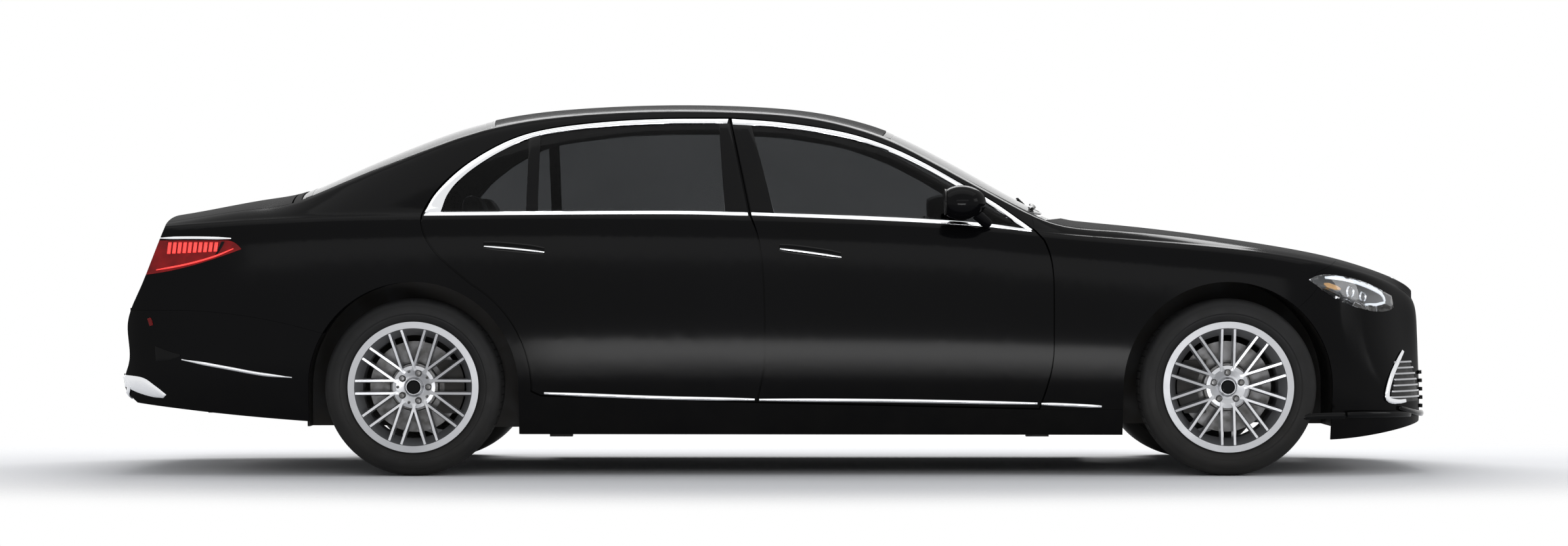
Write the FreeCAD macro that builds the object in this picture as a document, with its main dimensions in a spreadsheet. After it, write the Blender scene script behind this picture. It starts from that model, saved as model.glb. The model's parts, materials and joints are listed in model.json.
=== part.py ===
import FreeCAD, Part
import Sketcher
import math
import os

# Long-wheelbase limousine saloon: a four-door car built from its panels, glass, seats, axles and wheels.
# Frame: +X forward, +Y to the car's left, +Z up, origin on the ground under the car's middle. Millimetres.

V = FreeCAD.Vector
doc = FreeCAD.newDocument("limousine")

# Driving dimensions
SIZES = [
    ("body_length", 5290, "nose to tail"),
    ("body_width", 1962, "widest body line, doors closed"),
    ("roof_height", 1500, "ground to the top of the roof"),
    ("wheelbase", 3216, "front axle to rear axle"),
    ("front_overhang", 857, "front axle to the nose"),
    ("front_track", 1660, "between the front tyres' middles"),
    ("rear_track", 1684, "between the rear tyres' middles"),
    ("tyre_radius", 350, "outer radius of the tyres, which is also the axle height"),
    ("tyre_width", 255, "section width of the tyres"),
    ("bead_radius", 241, "where the tyre sits on the rim"),
    ("flange_radius", 258, "outer radius of the rim's flange"),
    ("rim_width", 216, "between the rim's flanges"),
    ("spoke_pairs", 10, "pairs of parallel spokes in a wheel"),
    ("spoke_offset", 25, "from a pair's middle line to each spoke"),
    ("spoke_face", 9, "width of a spoke's front ridge"),
    ("spoke_root", 19, "width of a spoke at its back"),
    ("bolt_circle", 56, "radius of the circle of wheel bolts"),
    ("arch_radius", 415, "wheel arch opening"),
    ("arch_lip", 51, "strip of rear wing between the arch and the rear door"),
    ("ground_clearance", 160, "ground to the bottom of the sills"),
    ("shut_gap", 7, "gap round a moving panel"),
    ("seam_gap", 0.8, "gap between two fixed panels"),
    ("flange_depth", 10, "thickness of a door's outer flange"),
    ("flange_width", 30, "how far a door's flange laps over the body"),
    ("box_clearance", 15, "between a door's inner box and its opening"),
    ("wall_depth", 110, "thickness of the doors and side walls below the glass"),
    ("frame_depth", 42, "thickness of the window frames and pillars"),
    ("roof_depth", 34, "thickness of the roof"),
    ("skin", 24, "thickness of bonnet, wings and bumpers"),
    ("glass", 5, "thickness of the glass"),
    ("glass_inset", 4, "how far the glass lies inside the painted surface"),
    ("floor_level", 208, "top of the floor"),
    ("floor_depth", 24, "thickness of the floor"),
    ("disc_radius", 180, "brake discs"),
    ("disc_depth", 32, "thickness of the brake discs"),
    ("steer_offset", 70, "from the tyre's middle to the steering axis"),
    ("steering_wheel_radius", 186, "to the middle of the steering wheel's rim"),
    ("exhaust_radius", 32, "exhaust pipes"),
    ("running_gap", 0.3, "round pins and shafts, and between a piece and its seat"),
    ("firewall_behind", 592, "front axle to the back of the firewall"),
    ("seat_height", 92, "floor to the underside of the seats"),
    ("engine_length", 700, "along the car"),
    ("engine_width", 600, "across the car"),
    ("engine_height", 560, "sump to cover"),
]
sheet = doc.addObject("Spreadsheet::Sheet", "Sizes")
for row, (alias, value, meaning) in enumerate(SIZES, 1):
    sheet.set("A%d" % row, meaning)
    sheet.set("B%d" % row, str(value))
    sheet.setAlias("B%d" % row, alias)
doc.recompute()


def size(alias):
    return float(sheet.get(alias))


# The body's lines are drawn for these anchors and stretch with the driving dimensions.
DRAWN_NOSE = 2645
DRAWN_FRONT_AXLE = 1788
DRAWN_REAR_AXLE = -1428
DRAWN_TAIL = -2645
DRAWN_WIDTH = 1962
DRAWN_HEIGHT = 1500
NOSE = size("body_length") / 2
TAIL = -NOSE
FRONT_AXLE = NOSE - size("front_overhang")
REAR_AXLE = FRONT_AXLE - size("wheelbase")
ANCHORS = [
    (DRAWN_TAIL, TAIL),
    (DRAWN_REAR_AXLE, REAR_AXLE),
    (DRAWN_FRONT_AXLE, FRONT_AXLE),
    (DRAWN_NOSE, NOSE),
]
GAP = size("shut_gap")
SEAM = size("seam_gap")
SIDE = 1200  # beyond the side of the car
BASE = 100  # the body's blocks start this high and are trimmed below
WHEEL_Z = size("tyre_radius")


def along(x):
    """A drawn place along the car, moved with the anchors."""
    for (drawn_a, real_a), (drawn_b, real_b) in zip(ANCHORS, ANCHORS[1:]):
        if x <= drawn_b or drawn_b == DRAWN_NOSE:
            return real_a + (x - drawn_a) * (real_b - real_a) / (drawn_b - drawn_a)


def across(y):
    return y * size("body_width") / DRAWN_WIDTH


def up(z):
    return z * size("roof_height") / DRAWN_HEIGHT


def smooth_line(points):
    """A smooth line through points, with no overshoot between them."""
    xs, ys = [p[0] for p in points], [p[1] for p in points]
    spans = range(len(xs) - 1)
    step = [xs[i + 1] - xs[i] for i in spans]
    rise = [(ys[i + 1] - ys[i]) / step[i] for i in spans]
    slope = [rise[0]] + [0.0] * (len(xs) - 2) + [rise[-1]]
    for i in list(spans)[1:]:
        if rise[i - 1] * rise[i] > 0:
            a, b = 2 * step[i] + step[i - 1], step[i] + 2 * step[i - 1]
            slope[i] = (a + b) / (a / rise[i - 1] + b / rise[i])

    def at(x):
        x = min(max(x, xs[0]), xs[-1])
        i = max(k for k in spans if xs[k] <= x)
        t = (x - xs[i]) / step[i]
        return (
            (2 * t**3 - 3 * t**2 + 1) * ys[i]
            + (t**3 - 2 * t**2 + t) * step[i] * slope[i]
            + (3 * t**2 - 2 * t**3) * ys[i + 1]
            + (t**3 - t**2) * step[i] * slope[i + 1]
        )

    return at


def width_line(*points):
    return smooth_line([(along(x), across(y)) for x, y in points])


def height_line(*points):
    return smooth_line([(along(x), up(z)) for x, z in points])


# Character lines of the body, each from tail to nose
LOW_WIDTH = width_line(
    (-2800, 700), (-2645, 735), (-2615, 775), (-2575, 828), (-2510, 876), (-2400, 915), (-2200, 946),
    (-1950, 966), (-1428, 981), (-900, 977), (0, 974), (900, 970), (1300, 970), (1788, 974), (2000, 962),
    (2200, 936), (2330, 903), (2430, 855), (2500, 795), (2550, 720), (2590, 625), (2610, 540), (2625, 430),
)
NOSE_PINCH = width_line(
    (-2800, 0), (1900, 0), (2100, 10), (2250, 32), (2350, 68), (2430, 118), (2500, 165), (2550, 175), (2625, 60),
)
SPINE = height_line(
    (-2800, 1000), (-2560, 1028), (-2452, 1047), (-2368, 1059), (-2124, 1109), (-1938, 1132), (-1744, 1227),
    (-1478, 1338), (-1300, 1405), (-1170, 1438), (-1055, 1462), (-811, 1486), (-498, 1500), (-300, 1501),
    (-72, 1493), (158, 1474), (347, 1433), (487, 1387), (627, 1316), (767, 1240), (907, 1160), (1047, 1081),
    (1110, 1050), (1173, 1027), (1300, 1012), (1485, 995), (1731, 965), (1915, 938), (2098, 909), (2282, 872),
    (2405, 836), (2504, 802), (2577, 768), (2608, 738), (2620, 708), (2625, 690),
)
SHOULDER = height_line(
    (-2800, 960), (-2450, 985), (-2100, 1003), (-1700, 1018), (-1392, 1022), (-900, 1027), (-478, 1026),
    (-101, 1020), (400, 1003), (795, 980), (1020, 958), (1300, 935), (1600, 912), (1788, 897), (2000, 870),
    (2200, 833), (2350, 797), (2450, 766), (2520, 738), (2570, 710), (2600, 680), (2618, 650), (2625, 620),
)
RAIL_WIDTH = width_line(
    (-2800, 600), (-2645, 650), (-2452, 720), (-2368, 735), (-2124, 752), (-1938, 745), (-1744, 715),
    (-1478, 668), (-1170, 620), (-811, 600), (-300, 598), (200, 604), (347, 625), (487, 658), (627, 695),
    (767, 735), (907, 772), (1047, 802), (1173, 812), (1400, 790), (1788, 752), (2100, 700), (2350, 590),
    (2500, 470), (2600, 380), (2625, 300),
)
CROWN = height_line(
    (-2800, 45), (-2452, 50), (-2124, 62), (-1938, 72), (-1478, 78), (-1100, 60), (-600, 50), (100, 50),
    (400, 62), (700, 74), (1047, 66), (1173, 48), (1400, 38), (2000, 30), (2400, 24), (2600, 20), (2625, 16),
)
SHOULDER_DEPTH = width_line(
    (-2800, 80), (-1950, 62), (-1392, 58), (-400, 60), (800, 62), (1200, 66), (1800, 70), (2300, 60), (2625, 50),
)
# How far the side lies inside the widest line, at each height below the shoulder
SIDE_LEVELS = [(100, 96), (200, 66), (320, 34), (470, 8), (640, 0), (800, 12)]
PINCH_SHARE = [0.0, 0.0, 0.0, 0.35, 0.85, 1.0]
DRAWN_SHOULDER = 1020  # the shoulder height for which the levels are drawn
SECTION_PLACES = [
    -2800, -2700, -2640, -2600, -2560, -2500, -2400, -2250, -2100, -1950, -1800, -1600, -1440, -1300, -1160,
    -1000, -800, -550, -300, -50, 150, 330, 480, 620, 760, 900, 1020, 1110, 1190, 1290, 1420, 1600, 1800, 2000,
    2150, 2280, 2390, 2480, 2545, 2590, 2614, 2625,
]
NOSE_FACE = 2625  # the flat front face, behind the grille
GLASSHOUSE_SHARES = (0.13, 0.36, 0.62, 0.86)  # from the belt up to the roof rail
ROOF_SHARES = (0.88, 0.66, 0.34, 0.0)  # from the roof rail in to the middle line
SHELF_DROP = 0.6  # how far an inner surface also drops under the shelf at the belt, as a share of its depth
SHELF_LIMIT = 20  # and only down to this depth
GLASSHOUSE_HEIGHT = 250  # above this height over the shoulder the side is glass, below it is panel


def section_points(x, low, glass, top):
    """Half of the body's cross-section at x, from the bottom to the middle line, moved inwards by three depths."""
    width, spine, shoulder = LOW_WIDTH(x), SPINE(x), SHOULDER(x)
    rail_y, rail_z = RAIL_WIDTH(x), spine - CROWN(x)
    upright_share = min(1, max(0, (rail_z - shoulder) / GLASSHOUSE_HEIGHT))
    glass = low + (glass - low) * upright_share
    pinch = NOSE_PINCH(x)
    stretch = (shoulder - BASE) / (up(DRAWN_SHOULDER) - BASE)
    points = []
    for (level, inside), share in zip(SIDE_LEVELS, PINCH_SHARE):
        points.append((width - pinch * share - across(inside) - low, BASE + (up(level) - BASE) * stretch))
    upper = width - pinch
    depth = SHOULDER_DEPTH(x)
    points.append((upper - depth * 0.42 - low, shoulder - up(70) * stretch))
    points.append((upper - depth - low, shoulder - SHELF_DROP * 0.5 * min(low, SHELF_LIMIT)))
    belt_y = upper - depth - across(30) - (upper - depth - rail_y) * 0.04
    belt_z = shoulder + min(12, max(2, (rail_z - shoulder) * 0.2))
    belt_depth = (low + glass) / 2
    points.append((belt_y - belt_depth, belt_z - SHELF_DROP * min(belt_depth, SHELF_LIMIT)))
    reach = math.hypot(belt_y - rail_y, rail_z - belt_z)
    for f in GLASSHOUSE_SHARES:
        bulge = 0.12 * reach * f * (1 - f)
        out_y, out_z = (rail_z - belt_z) / reach, (belt_y - rail_y) / reach
        y = belt_y + (rail_y - belt_y) * f + bulge * out_y - glass
        points.append((y, belt_z + (rail_z - belt_z) * f + bulge * out_z - top * f * 0.3))
    points.append((rail_y - glass * 0.9, rail_z - top * 0.9))
    for f in ROOF_SHARES:
        points.append((rail_y * f - glass * f * 0.5, spine - CROWN(x) * f * f - top))
    return points


def body_surface(low=0.0, glass=None, top=None, face=NOSE_FACE):
    """The body's skin from tail to nose as one smooth surface, moved inwards by depths at the sides, glass and top."""
    glass = low if glass is None else glass
    top = low if top is None else top
    places = [along(x) for x in SECTION_PLACES if x < face - 5] + [along(face)]
    knots = [places[0]] * 3 + places + [places[-1]] * 3
    poles = []
    for i in range(len(knots) - 4):
        x = sum(knots[i + 1 : i + 4]) / 3
        half = section_points(x, low, glass, top)
        right = [V(x, -y, z) for y, z in half]
        poles.append(right + [V(x, y, z) for y, z in reversed(half[:-1])])
    across_knots = [float(i) for i in range(len(poles[0]) - 2)]
    surface = Part.BSplineSurface()
    surface.buildFromPolesMultsKnots(
        poles,
        [4] + [1] * (len(places) - 2) + [4],
        [4] + [1] * (len(across_knots) - 2) + [4],
        places,
        across_knots,
        False,
        False,
        3,
        3,
    )
    return surface


def body_block(surface, start, end, half=True):
    """The space inside a body surface between two stations, as a solid: the right half, or the whole width."""
    part = surface.copy()
    low_v, high_v = surface.bounds()[2:]
    if half:
        high_v = (low_v + high_v) / 2
    part.segment(start, end, low_v, high_v)
    corners = [part.value(u, v) for u, v in ((start, low_v), (end, low_v), (end, high_v), (start, high_v))]
    bottom, front = part.vIso(low_v).toShape(), part.uIso(end).toShape()
    top, back = part.vIso(high_v).toShape(), part.uIso(start).toShape()
    wires = []
    if half:
        feet = [V(start, 0, BASE), V(end, 0, BASE)]
        keel = Part.makeLine(feet[1], feet[0])
        wires.append([bottom, Part.makeLine(corners[1], feet[1]), keel, Part.makeLine(feet[0], corners[0])])
        wires.append([top, Part.makeLine(corners[2], feet[1]), keel, Part.makeLine(feet[0], corners[3])])
        wires.append([back, Part.makeLine(corners[3], feet[0]), Part.makeLine(feet[0], corners[0])])
        wires.append([front, Part.makeLine(corners[2], feet[1]), Part.makeLine(feet[1], corners[1])])
    else:
        wires.append([bottom, Part.makeLine(corners[1], corners[2]), top, Part.makeLine(corners[3], corners[0])])
        wires.append([back, Part.makeLine(corners[3], corners[0])])
        wires.append([front, Part.makeLine(corners[2], corners[1])])
    shell = Part.makeShell([part.toShape()] + [Part.Face(Part.Wire(w)) for w in wires])
    shell.sewShape()
    solid = Part.makeSolid(shell)
    if solid.Volume < 0:
        solid.reverse()
    return solid


def side_point(p):
    return V(along(p[0]), 0, up(p[1]))


def plan_point(p):
    return V(along(p[0]), across(p[1]), 0)


def outline(start, *steps, to=side_point):
    """A closed outline of straight runs, curves through points and arcs, in the side view or from above."""
    runs, last = [], to(start)
    for kind, *points in steps:
        ends = [to(p) for p in points]
        if kind == "line":
            for p in ends:
                runs.append(("line", [last, p]))
                last = p
        else:
            runs.append((kind, [last] + ends))
            last = ends[-1]
    if last.distanceToPoint(to(start)) > 1e-6:
        runs.append(("line", [last, to(start)]))
    return runs


def run_curve(kind, points):
    if kind == "line":
        return Part.LineSegment(points[0], points[1])
    if kind == "arc":
        return Part.Arc(*points)
    curve = Part.BSplineCurve()
    curve.interpolate(points)
    return curve


def moved_runs(runs, grow):
    """The runs of an outline moved outwards, with their corners kept sharp."""
    turn = V(0, 0, 0)
    for kind, points in runs:
        for a, b in zip(points, points[1:]):
            turn += a.cross(b)
    turn.normalize()
    ways = []
    for kind, points in runs:
        curve = run_curve(kind, points)
        ways.append([V(*curve.tangent(curve.parameter(p))[0]).cross(turn) for p in points])
    result = []
    for i, (kind, points) in enumerate(runs):
        shifted = [p + way * grow for p, way in zip(points, ways[i])]
        before, after = ways[i - 1][-1], ways[(i + 1) % len(runs)][0]
        first, final = ways[i][0], ways[i][-1]
        shifted[0] = points[0] + (before + first) * (grow / (1 + before.dot(first)))
        shifted[-1] = points[-1] + (final + after) * (grow / (1 + final.dot(after)))
        result.append((kind, shifted))
    return result


def drawn(runs, grow=0.0):
    if grow:
        runs = moved_runs(runs, grow)
    return Part.Face(Part.Wire([run_curve(kind, points).toShape() for kind, points in runs]))


def sideways(runs, grow=0.0, inner=-SIDE, outer=-250):
    """An outline of the side view, carried through the right side of the car."""
    face = drawn(runs, grow)
    face.translate(V(0, inner, 0))
    return face.extrude(V(0, outer - inner, 0))


def upright(runs, grow=0.0, low=BASE - 50, high=1700):
    """An outline seen from above, carried upwards."""
    face = drawn(runs, grow)
    face.translate(V(0, 0, low))
    return face.extrude(V(0, 0, high - low))


def mirrored(shape):
    return shape.mirror(V(0, 0, 0), V(0, 1, 0))


def carve(shape, *tools):
    """A shape with each of several tools taken away in turn."""
    for tool in tools:
        shape = shape.cut(tool)
    return shape


def only_solids(shape, least=2000.0):
    kept = [s for s in shape.Solids if s.Volume > least]
    return kept[0] if len(kept) == 1 else Part.makeCompound(kept)


NODES = {}


def keep(label, shape):
    """A finished sub-part whose shape is set from the sheet's values."""
    node = doc.addObject("Part::Feature", label)
    node.Label = label
    node.Shape = shape
    NODES[label] = node
    return node


def keep_pair(label, shape):
    """A sub-part on the right side and its mirror image on the left."""
    keep(label + "_right", shape)
    keep(label + "_left", mirrored(shape))


# Body surfaces at the depths where panels begin and end
OUTER = body_surface()
UNDER_FLANGE = body_surface(size("flange_depth"))
REBATE = body_surface(size("flange_depth") + GAP)
UNDER_SKIN = body_surface(size("skin"), face=NOSE_FACE - size("skin"))
BEHIND_SKIN = body_surface(size("skin") + SEAM, face=NOSE_FACE - size("skin") - SEAM)
CABIN = body_surface(size("wall_depth"), size("frame_depth"), size("roof_depth"), face=NOSE_FACE - 100)
GLASS_OUTER = body_surface(size("glass_inset"))
GLASS_INNER = body_surface(size("glass_inset") + size("glass"))

# Outlines in the side view
DOOR_TOP_REAR = [
    (-1356, 1114), (-1273, 1204), (-1173, 1277), (-1052, 1340), (-916, 1379), (-711, 1406), (-479, 1420),
    (-183, 1422),
]
DOOR_TOP_FRONT = [
    (12, 1407), (200, 1380), (334, 1350), (468, 1302), (600, 1238), (732, 1162), (863, 1086), (967, 1012),
    (1027, 969),
]
PILLAR_LINE = [(-101, 1031), (-67, 931), (-47, 773), (-41, 575), (-44, 442), (-60, 350), (-73, 291)]
FRONT_EDGE = [(1061, 318), (1092, 442), (1097, 575), (1097, 747), (1088, 852), (1061, 931)]


def rear_door_outline():
    """The rear door, whose lower rear edge is an arc about the axle beside the wheel arch."""
    radius = size("arch_radius") + size("arch_lip")

    def arc_point(degrees):
        angle = math.radians(degrees)
        return V(REAR_AXLE + radius * math.cos(angle), 0, WHEEL_Z + radius * math.sin(angle))

    top = [side_point(p) for p in [(-1399, 1030)] + DOOR_TOP_REAR]
    pillar = [side_point(p) for p in PILLAR_LINE]
    corner = side_point((-926, 317))
    low, middle, high = arc_point(-2), arc_point(28), arc_point(60)
    back = [high] + [side_point(p) for p in ((-1262, 808), (-1335, 876), (-1382, 945), (-1399, 1030))]
    return [
        ("curve", top),
        ("line", [top[-1], pillar[0]]),
        ("curve", pillar),
        ("line", [pillar[-1], corner]),
        ("line", [corner, low]),
        ("arc", [low, middle, high]),
        ("curve", back),
    ]


FRONT_DOOR = outline(
    (-183, 1422),
    ("curve", *DOOR_TOP_FRONT),
    ("line", FRONT_EDGE[-1]),
    ("curve", *reversed(FRONT_EDGE[:-1]), (1042, 264)),
    ("line", PILLAR_LINE[-1]),
    ("curve", *reversed(PILLAR_LINE[:-1])),
    ("line", (-183, 1422)),
)
REAR_DOOR = rear_door_outline()
WINDOW_FRONT = outline(
    (-6, 1040),
    ("line", (-100, 1398)),
    ("curve", (12, 1389), (200, 1362), (334, 1332), (468, 1284), (600, 1220), (732, 1144), (850, 1074), (950, 1003)),
    ("line", (930, 992), (795, 1004)),
    ("curve", (400, 1026), (-6, 1040)),
)
WINDOW_REAR = outline(
    (-200, 1044),
    ("line", (-226, 1404)),
    ("curve", (-479, 1402), (-711, 1388), (-900, 1364), (-945, 1355)),
    ("line", (-945, 1043)),
    ("curve", (-570, 1047), (-200, 1044)),
)
QUARTER_WINDOW = outline(
    (-985, 1043),
    ("line", (-985, 1343)),
    ("curve", (-1046, 1318), (-1150, 1262), (-1243, 1192), (-1300, 1120), (-1326, 1043)),
)
WING = outline(
    (1042, 262),
    ("curve", *FRONT_EDGE),
    ("line", (1027, 969), (1010, 1120), (2560, 1000), (2140, 800), (2150, 752)),
    ("curve", (2106, 700), (2040, 650)),
    ("line", (2040, 262)),
)
BOTTOM = outline(
    (2900, 250),
    ("curve", (2560, 192), (2380, 158), (2176, 139), (2050, 146)),
    ("line", (1374, 160), (-1003, 163), (-1842, 214)),
    ("curve", (-2150, 240), (-2411, 269), (-2569, 290), (-2900, 370)),
    ("line", (-2900, -50), (2900, -50)),
)
TAIL_PROFILE = [
    (-2452, 1062), (-2462, 1040), (-2502, 947), (-2552, 820), (-2580, 750), (-2626, 640), (-2634, 600),
    (-2628, 506), (-2630, 440), (-2645, 384), (-2636, 330), (-2600, 290), (-2560, 240),
]
TAIL_LAMP = outline(
    (-2108, 894),
    ("curve", (-2145, 924), (-2170, 929)),
    ("line", (-2700, 929), (-2700, 780), (-2540, 790)),
    ("curve", (-2318, 826), (-2216, 856), (-2108, 894)),
)
HEADLAMP = outline(
    (2110, 774),
    ("curve", (2154, 792), (2234, 790), (2317, 774), (2393, 746), (2478, 708)),
    ("line", (2486, 660)),
    ("curve", (2450, 648), (2345, 655), (2289, 671), (2221, 697), (2160, 736), (2110, 774)),
)

# Outlines seen from above
BONNET = outline(
    (1180, 0),
    ("curve", (1165, 300), (1125, 560), (1075, 768)),
    ("curve", (1400, 766), (1788, 730), (2100, 676), (2330, 600), (2462, 492)),
    ("curve", (2520, 330), (2545, 160), (2552, 0)),
    ("curve", (2545, -160), (2520, -330), (2462, -492)),
    ("curve", (2330, -600), (2100, -676), (1788, -730), (1400, -766), (1075, -768)),
    ("curve", (1125, -560), (1165, -300), (1180, 0)),
    to=plan_point,
)
WINDSCREEN = outline(
    (1108, 0),
    ("curve", (1092, 300), (1052, 560), (1000, 722)),
    ("curve", (860, 700), (640, 642), (430, 574)),
    ("curve", (452, 300), (458, 0), (452, -300), (430, -574)),
    ("curve", (640, -642), (860, -700), (1000, -722)),
    ("curve", (1052, -560), (1092, -300), (1108, 0)),
    to=plan_point,
)
COWL_RECESS = outline(
    (1180, 0),
    ("curve", (1165, 300), (1125, 560), (1075, 768)),
    ("line", (1000, 722)),
    ("curve", (1052, 560), (1092, 300), (1108, 0), (1092, -300), (1052, -560), (1000, -722)),
    ("line", (1075, -768)),
    ("curve", (1125, -560), (1165, -300), (1180, 0)),
    to=plan_point,
)
ROOF = outline(
    (430, 574),
    ("curve", (300, 561), (0, 553), (-500, 552), (-900, 556), (-1128, 576)),
    ("curve", (-1150, 300), (-1156, 0), (-1150, -300), (-1128, -576)),
    ("curve", (-900, -556), (-500, -552), (0, -553), (300, -561), (430, -574)),
    ("curve", (452, -300), (458, 0), (452, 300), (430, 574)),
    to=plan_point,
)
REAR_WINDOW = outline(
    (-1128, 576),
    ("curve", (-1400, 610), (-1700, 655), (-1900, 680)),
    ("curve", (-1925, 330), (-1934, 0), (-1925, -330), (-1900, -680)),
    ("curve", (-1700, -655), (-1400, -610), (-1128, -576)),
    ("curve", (-1150, -300), (-1156, 0), (-1150, 300), (-1128, 576)),
    to=plan_point,
)
BOOT_LID = outline(
    (-1934, 700),
    ("curve", (-2100, 706), (-2300, 694), (-2450, 672), (-2560, 652)),
    ("line", (-2800, 652), (-2800, -652), (-2560, -652)),
    ("curve", (-2450, -672), (-2300, -694), (-2100, -706), (-1934, -700)),
    ("curve", (-1956, -330), (-1964, 0), (-1956, 330), (-1934, 700)),
    to=plan_point,
)
LID_BOTTOM = up(652)


def tail_cutter():
    """The space behind the car: the tail's profile, bowed from side to side."""
    sections = []
    for y, back in ((-1100, 120), (-700, 42), (-350, 10), (0, 0), (350, 10), (700, 42), (1100, 120)):
        curve = Part.BSplineCurve()
        curve.interpolate([V(along(x) + back, across(y), up(z)) for x, z in TAIL_PROFILE])
        ends = [V(along(-2900), across(y), up(1062)), V(along(-2900), across(y), up(240))]
        first, last = curve.value(curve.FirstParameter), curve.value(curve.LastParameter)
        sections.append(
            Part.Wire([
                curve.toShape(), Part.makeLine(last, ends[1]), Part.makeLine(ends[1], ends[0]),
                Part.makeLine(ends[0], first),
            ])
        )
    return Part.makeLoft(sections, True, False)


REAR_BUMPER = outline(
    (-2800, 652),
    ("line", (-2330, 652)),
    ("curve", (-2050, 624), (-1780, 560)),
    ("line", (-1700, 90), (-2800, 90)),
)


def arch(axle_x):
    """A wheel arch: a half circle over the axle that runs straight down below it."""
    radius = size("arch_radius")
    front, top, back = (V(axle_x + radius * c, 0, WHEEL_Z + radius * d) for c, d in ((1, 0), (0, 1), (-1, 0)))
    back_foot, front_foot = V(axle_x - radius, 0, 0), V(axle_x + radius, 0, 0)
    return [
        ("arc", [front, top, back]),
        ("line", [back, back_foot]),
        ("line", [back_foot, front_foot]),
        ("line", [front_foot, front]),
    ]


# Solid blocks inside the body surfaces
BLOCK_START = along(-2790)
OUT = body_block(OUTER, BLOCK_START, along(NOSE_FACE), half=False)
OUT_SIDE = body_block(OUTER, BLOCK_START, along(NOSE_FACE))
UNDER_FLANGE_SIDE = body_block(UNDER_FLANGE, BLOCK_START, along(NOSE_FACE))
REBATE_SIDE = body_block(REBATE, BLOCK_START, along(NOSE_FACE))
SKIN_END = NOSE_FACE - size("skin")
UNDER = body_block(UNDER_SKIN, BLOCK_START, along(SKIN_END), half=False)
UNDER_SIDE = body_block(UNDER_SKIN, BLOCK_START, along(SKIN_END))
BEHIND_SIDE = body_block(BEHIND_SKIN, BLOCK_START, along(SKIN_END - SEAM))
CABIN_END = NOSE_FACE - 100
INSIDE = body_block(CABIN, BLOCK_START, along(CABIN_END), half=False)
INSIDE_SIDE = body_block(CABIN, BLOCK_START, along(CABIN_END))
BEHIND_CAR = tail_cutter()
BELOW_CAR = sideways(BOTTOM, outer=SIDE)


def moved(shape, x=0.0, y=0.0, z=0.0):
    copy = shape.copy()
    copy.translate(V(x, y, z))
    return copy


def both_sides(shape):
    return [shape, mirrored(shape)]


BEHIND_LID = moved(BEHIND_CAR, x=size("skin"))
UNDER_TRIMMED = UNDER.cut(BEHIND_LID)
UNDER_SIDE_TRIMMED = UNDER_SIDE.cut(BEHIND_LID)
INSIDE_SIDE_TRIMMED = INSIDE_SIDE.cut(moved(BEHIND_CAR, x=size("wall_depth")))
ARCHES = [sideways(arch(x)) for x in (FRONT_AXLE, REAR_AXLE)]
ALL_ARCHES = ARCHES + [mirrored(a) for a in ARCHES]
LAP = GAP / 2 + size("flange_width")


def door(shape, windows):
    """An outer flange that laps over the body, with a thick inner box behind it and its windows cut."""
    whole = OUT_SIDE.common(sideways(shape, -GAP / 2))
    lap = UNDER_FLANGE_SIDE.common(sideways(shape, GAP).cut(sideways(shape, -LAP)))
    return only_solids(carve(whole, INSIDE_SIDE, lap, *[sideways(w) for w in windows]))


def door_opening(shape):
    """The opening that a door closes: a shallow rebate for its flange and a deep hole for its inner box."""
    lap = sideways(shape, GAP / 2).cut(REBATE_SIDE)
    return [lap, sideways(shape, size("box_clearance") - LAP)]


GLASS_SIDE = body_block(GLASS_OUTER, BLOCK_START, along(NOSE_FACE))
GLASS_SIDE_BEHIND = body_block(GLASS_INNER, BLOCK_START, along(NOSE_FACE))


def pane(shape):
    """A sheet of glass that follows the body's surface inside a window."""
    return only_solids(GLASS_SIDE.common(sideways(shape, -SEAM)).cut(GLASS_SIDE_BEHIND))


keep_pair("door_front", door(FRONT_DOOR, [WINDOW_FRONT]))
keep_pair("door_rear", door(REAR_DOOR, [WINDOW_REAR, QUARTER_WINDOW]))
keep_pair("glass_front", pane(WINDOW_FRONT))
keep_pair("glass_rear", Part.makeCompound([pane(WINDOW_REAR), pane(QUARTER_WINDOW)]))


BUFFER_RADIUS = 6
DOOR_BUFFERS = [(-31, 620), (-33, 450), (-54, 450)]
BUFFER_SEAT = body_block(body_surface(size("flange_depth") + size("running_gap")), BLOCK_START, along(NOSE_FACE))


def door_buffer(place):
    """A rubber stop on the body that a closed door's flange rests against."""
    stop = Part.makeCylinder(BUFFER_RADIUS, SIDE - 900, place + V(0, -SIDE, 0), V(0, 1, 0))
    return stop.common(BUFFER_SEAT)


def body_side():
    """Sill, hinge pillar, middle pillar, roof rail and rear wing in one pressing, on the right."""
    span = outline((-2790, 1700), ("line", (1190, 1700), (1190, 262), (1374, 262), (1374, 90), (-2790, 90)))
    side = OUT_SIDE.common(sideways(span, outer=0))
    side = carve(side, upright(BOOT_LID, GAP / 2, low=LID_BOTTOM - GAP / 2), sideways(TAIL_LAMP, SEAM, outer=0))
    side = carve(side, sideways(REAR_BUMPER, SEAM, outer=0))
    side = carve(side, *[upright(w, SEAM, low=HIGH) for w in (ROOF, WINDSCREEN, COWL_RECESS, REAR_WINDOW)])
    side = carve(side, upright(BONNET, GAP / 2, low=HIGH), BEHIND_CAR, BELOW_CAR)
    side = carve(side, sideways(WING, SEAM).cut(BEHIND_SIDE), *ARCHES)
    side = carve(side, *door_opening(FRONT_DOOR), *door_opening(REAR_DOOR), INSIDE_SIDE_TRIMMED)
    side = carve(side, Part.makeBox(100, 14, 32, V(along(1098), across(-802), up(957))))
    for x, z in DOOR_BUFFERS:
        side = side.fuse(door_buffer(V(along(x), 0, up(z))))
    return only_solids(side)


HIGH = up(900)
keep_pair("body_side", body_side())

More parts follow.
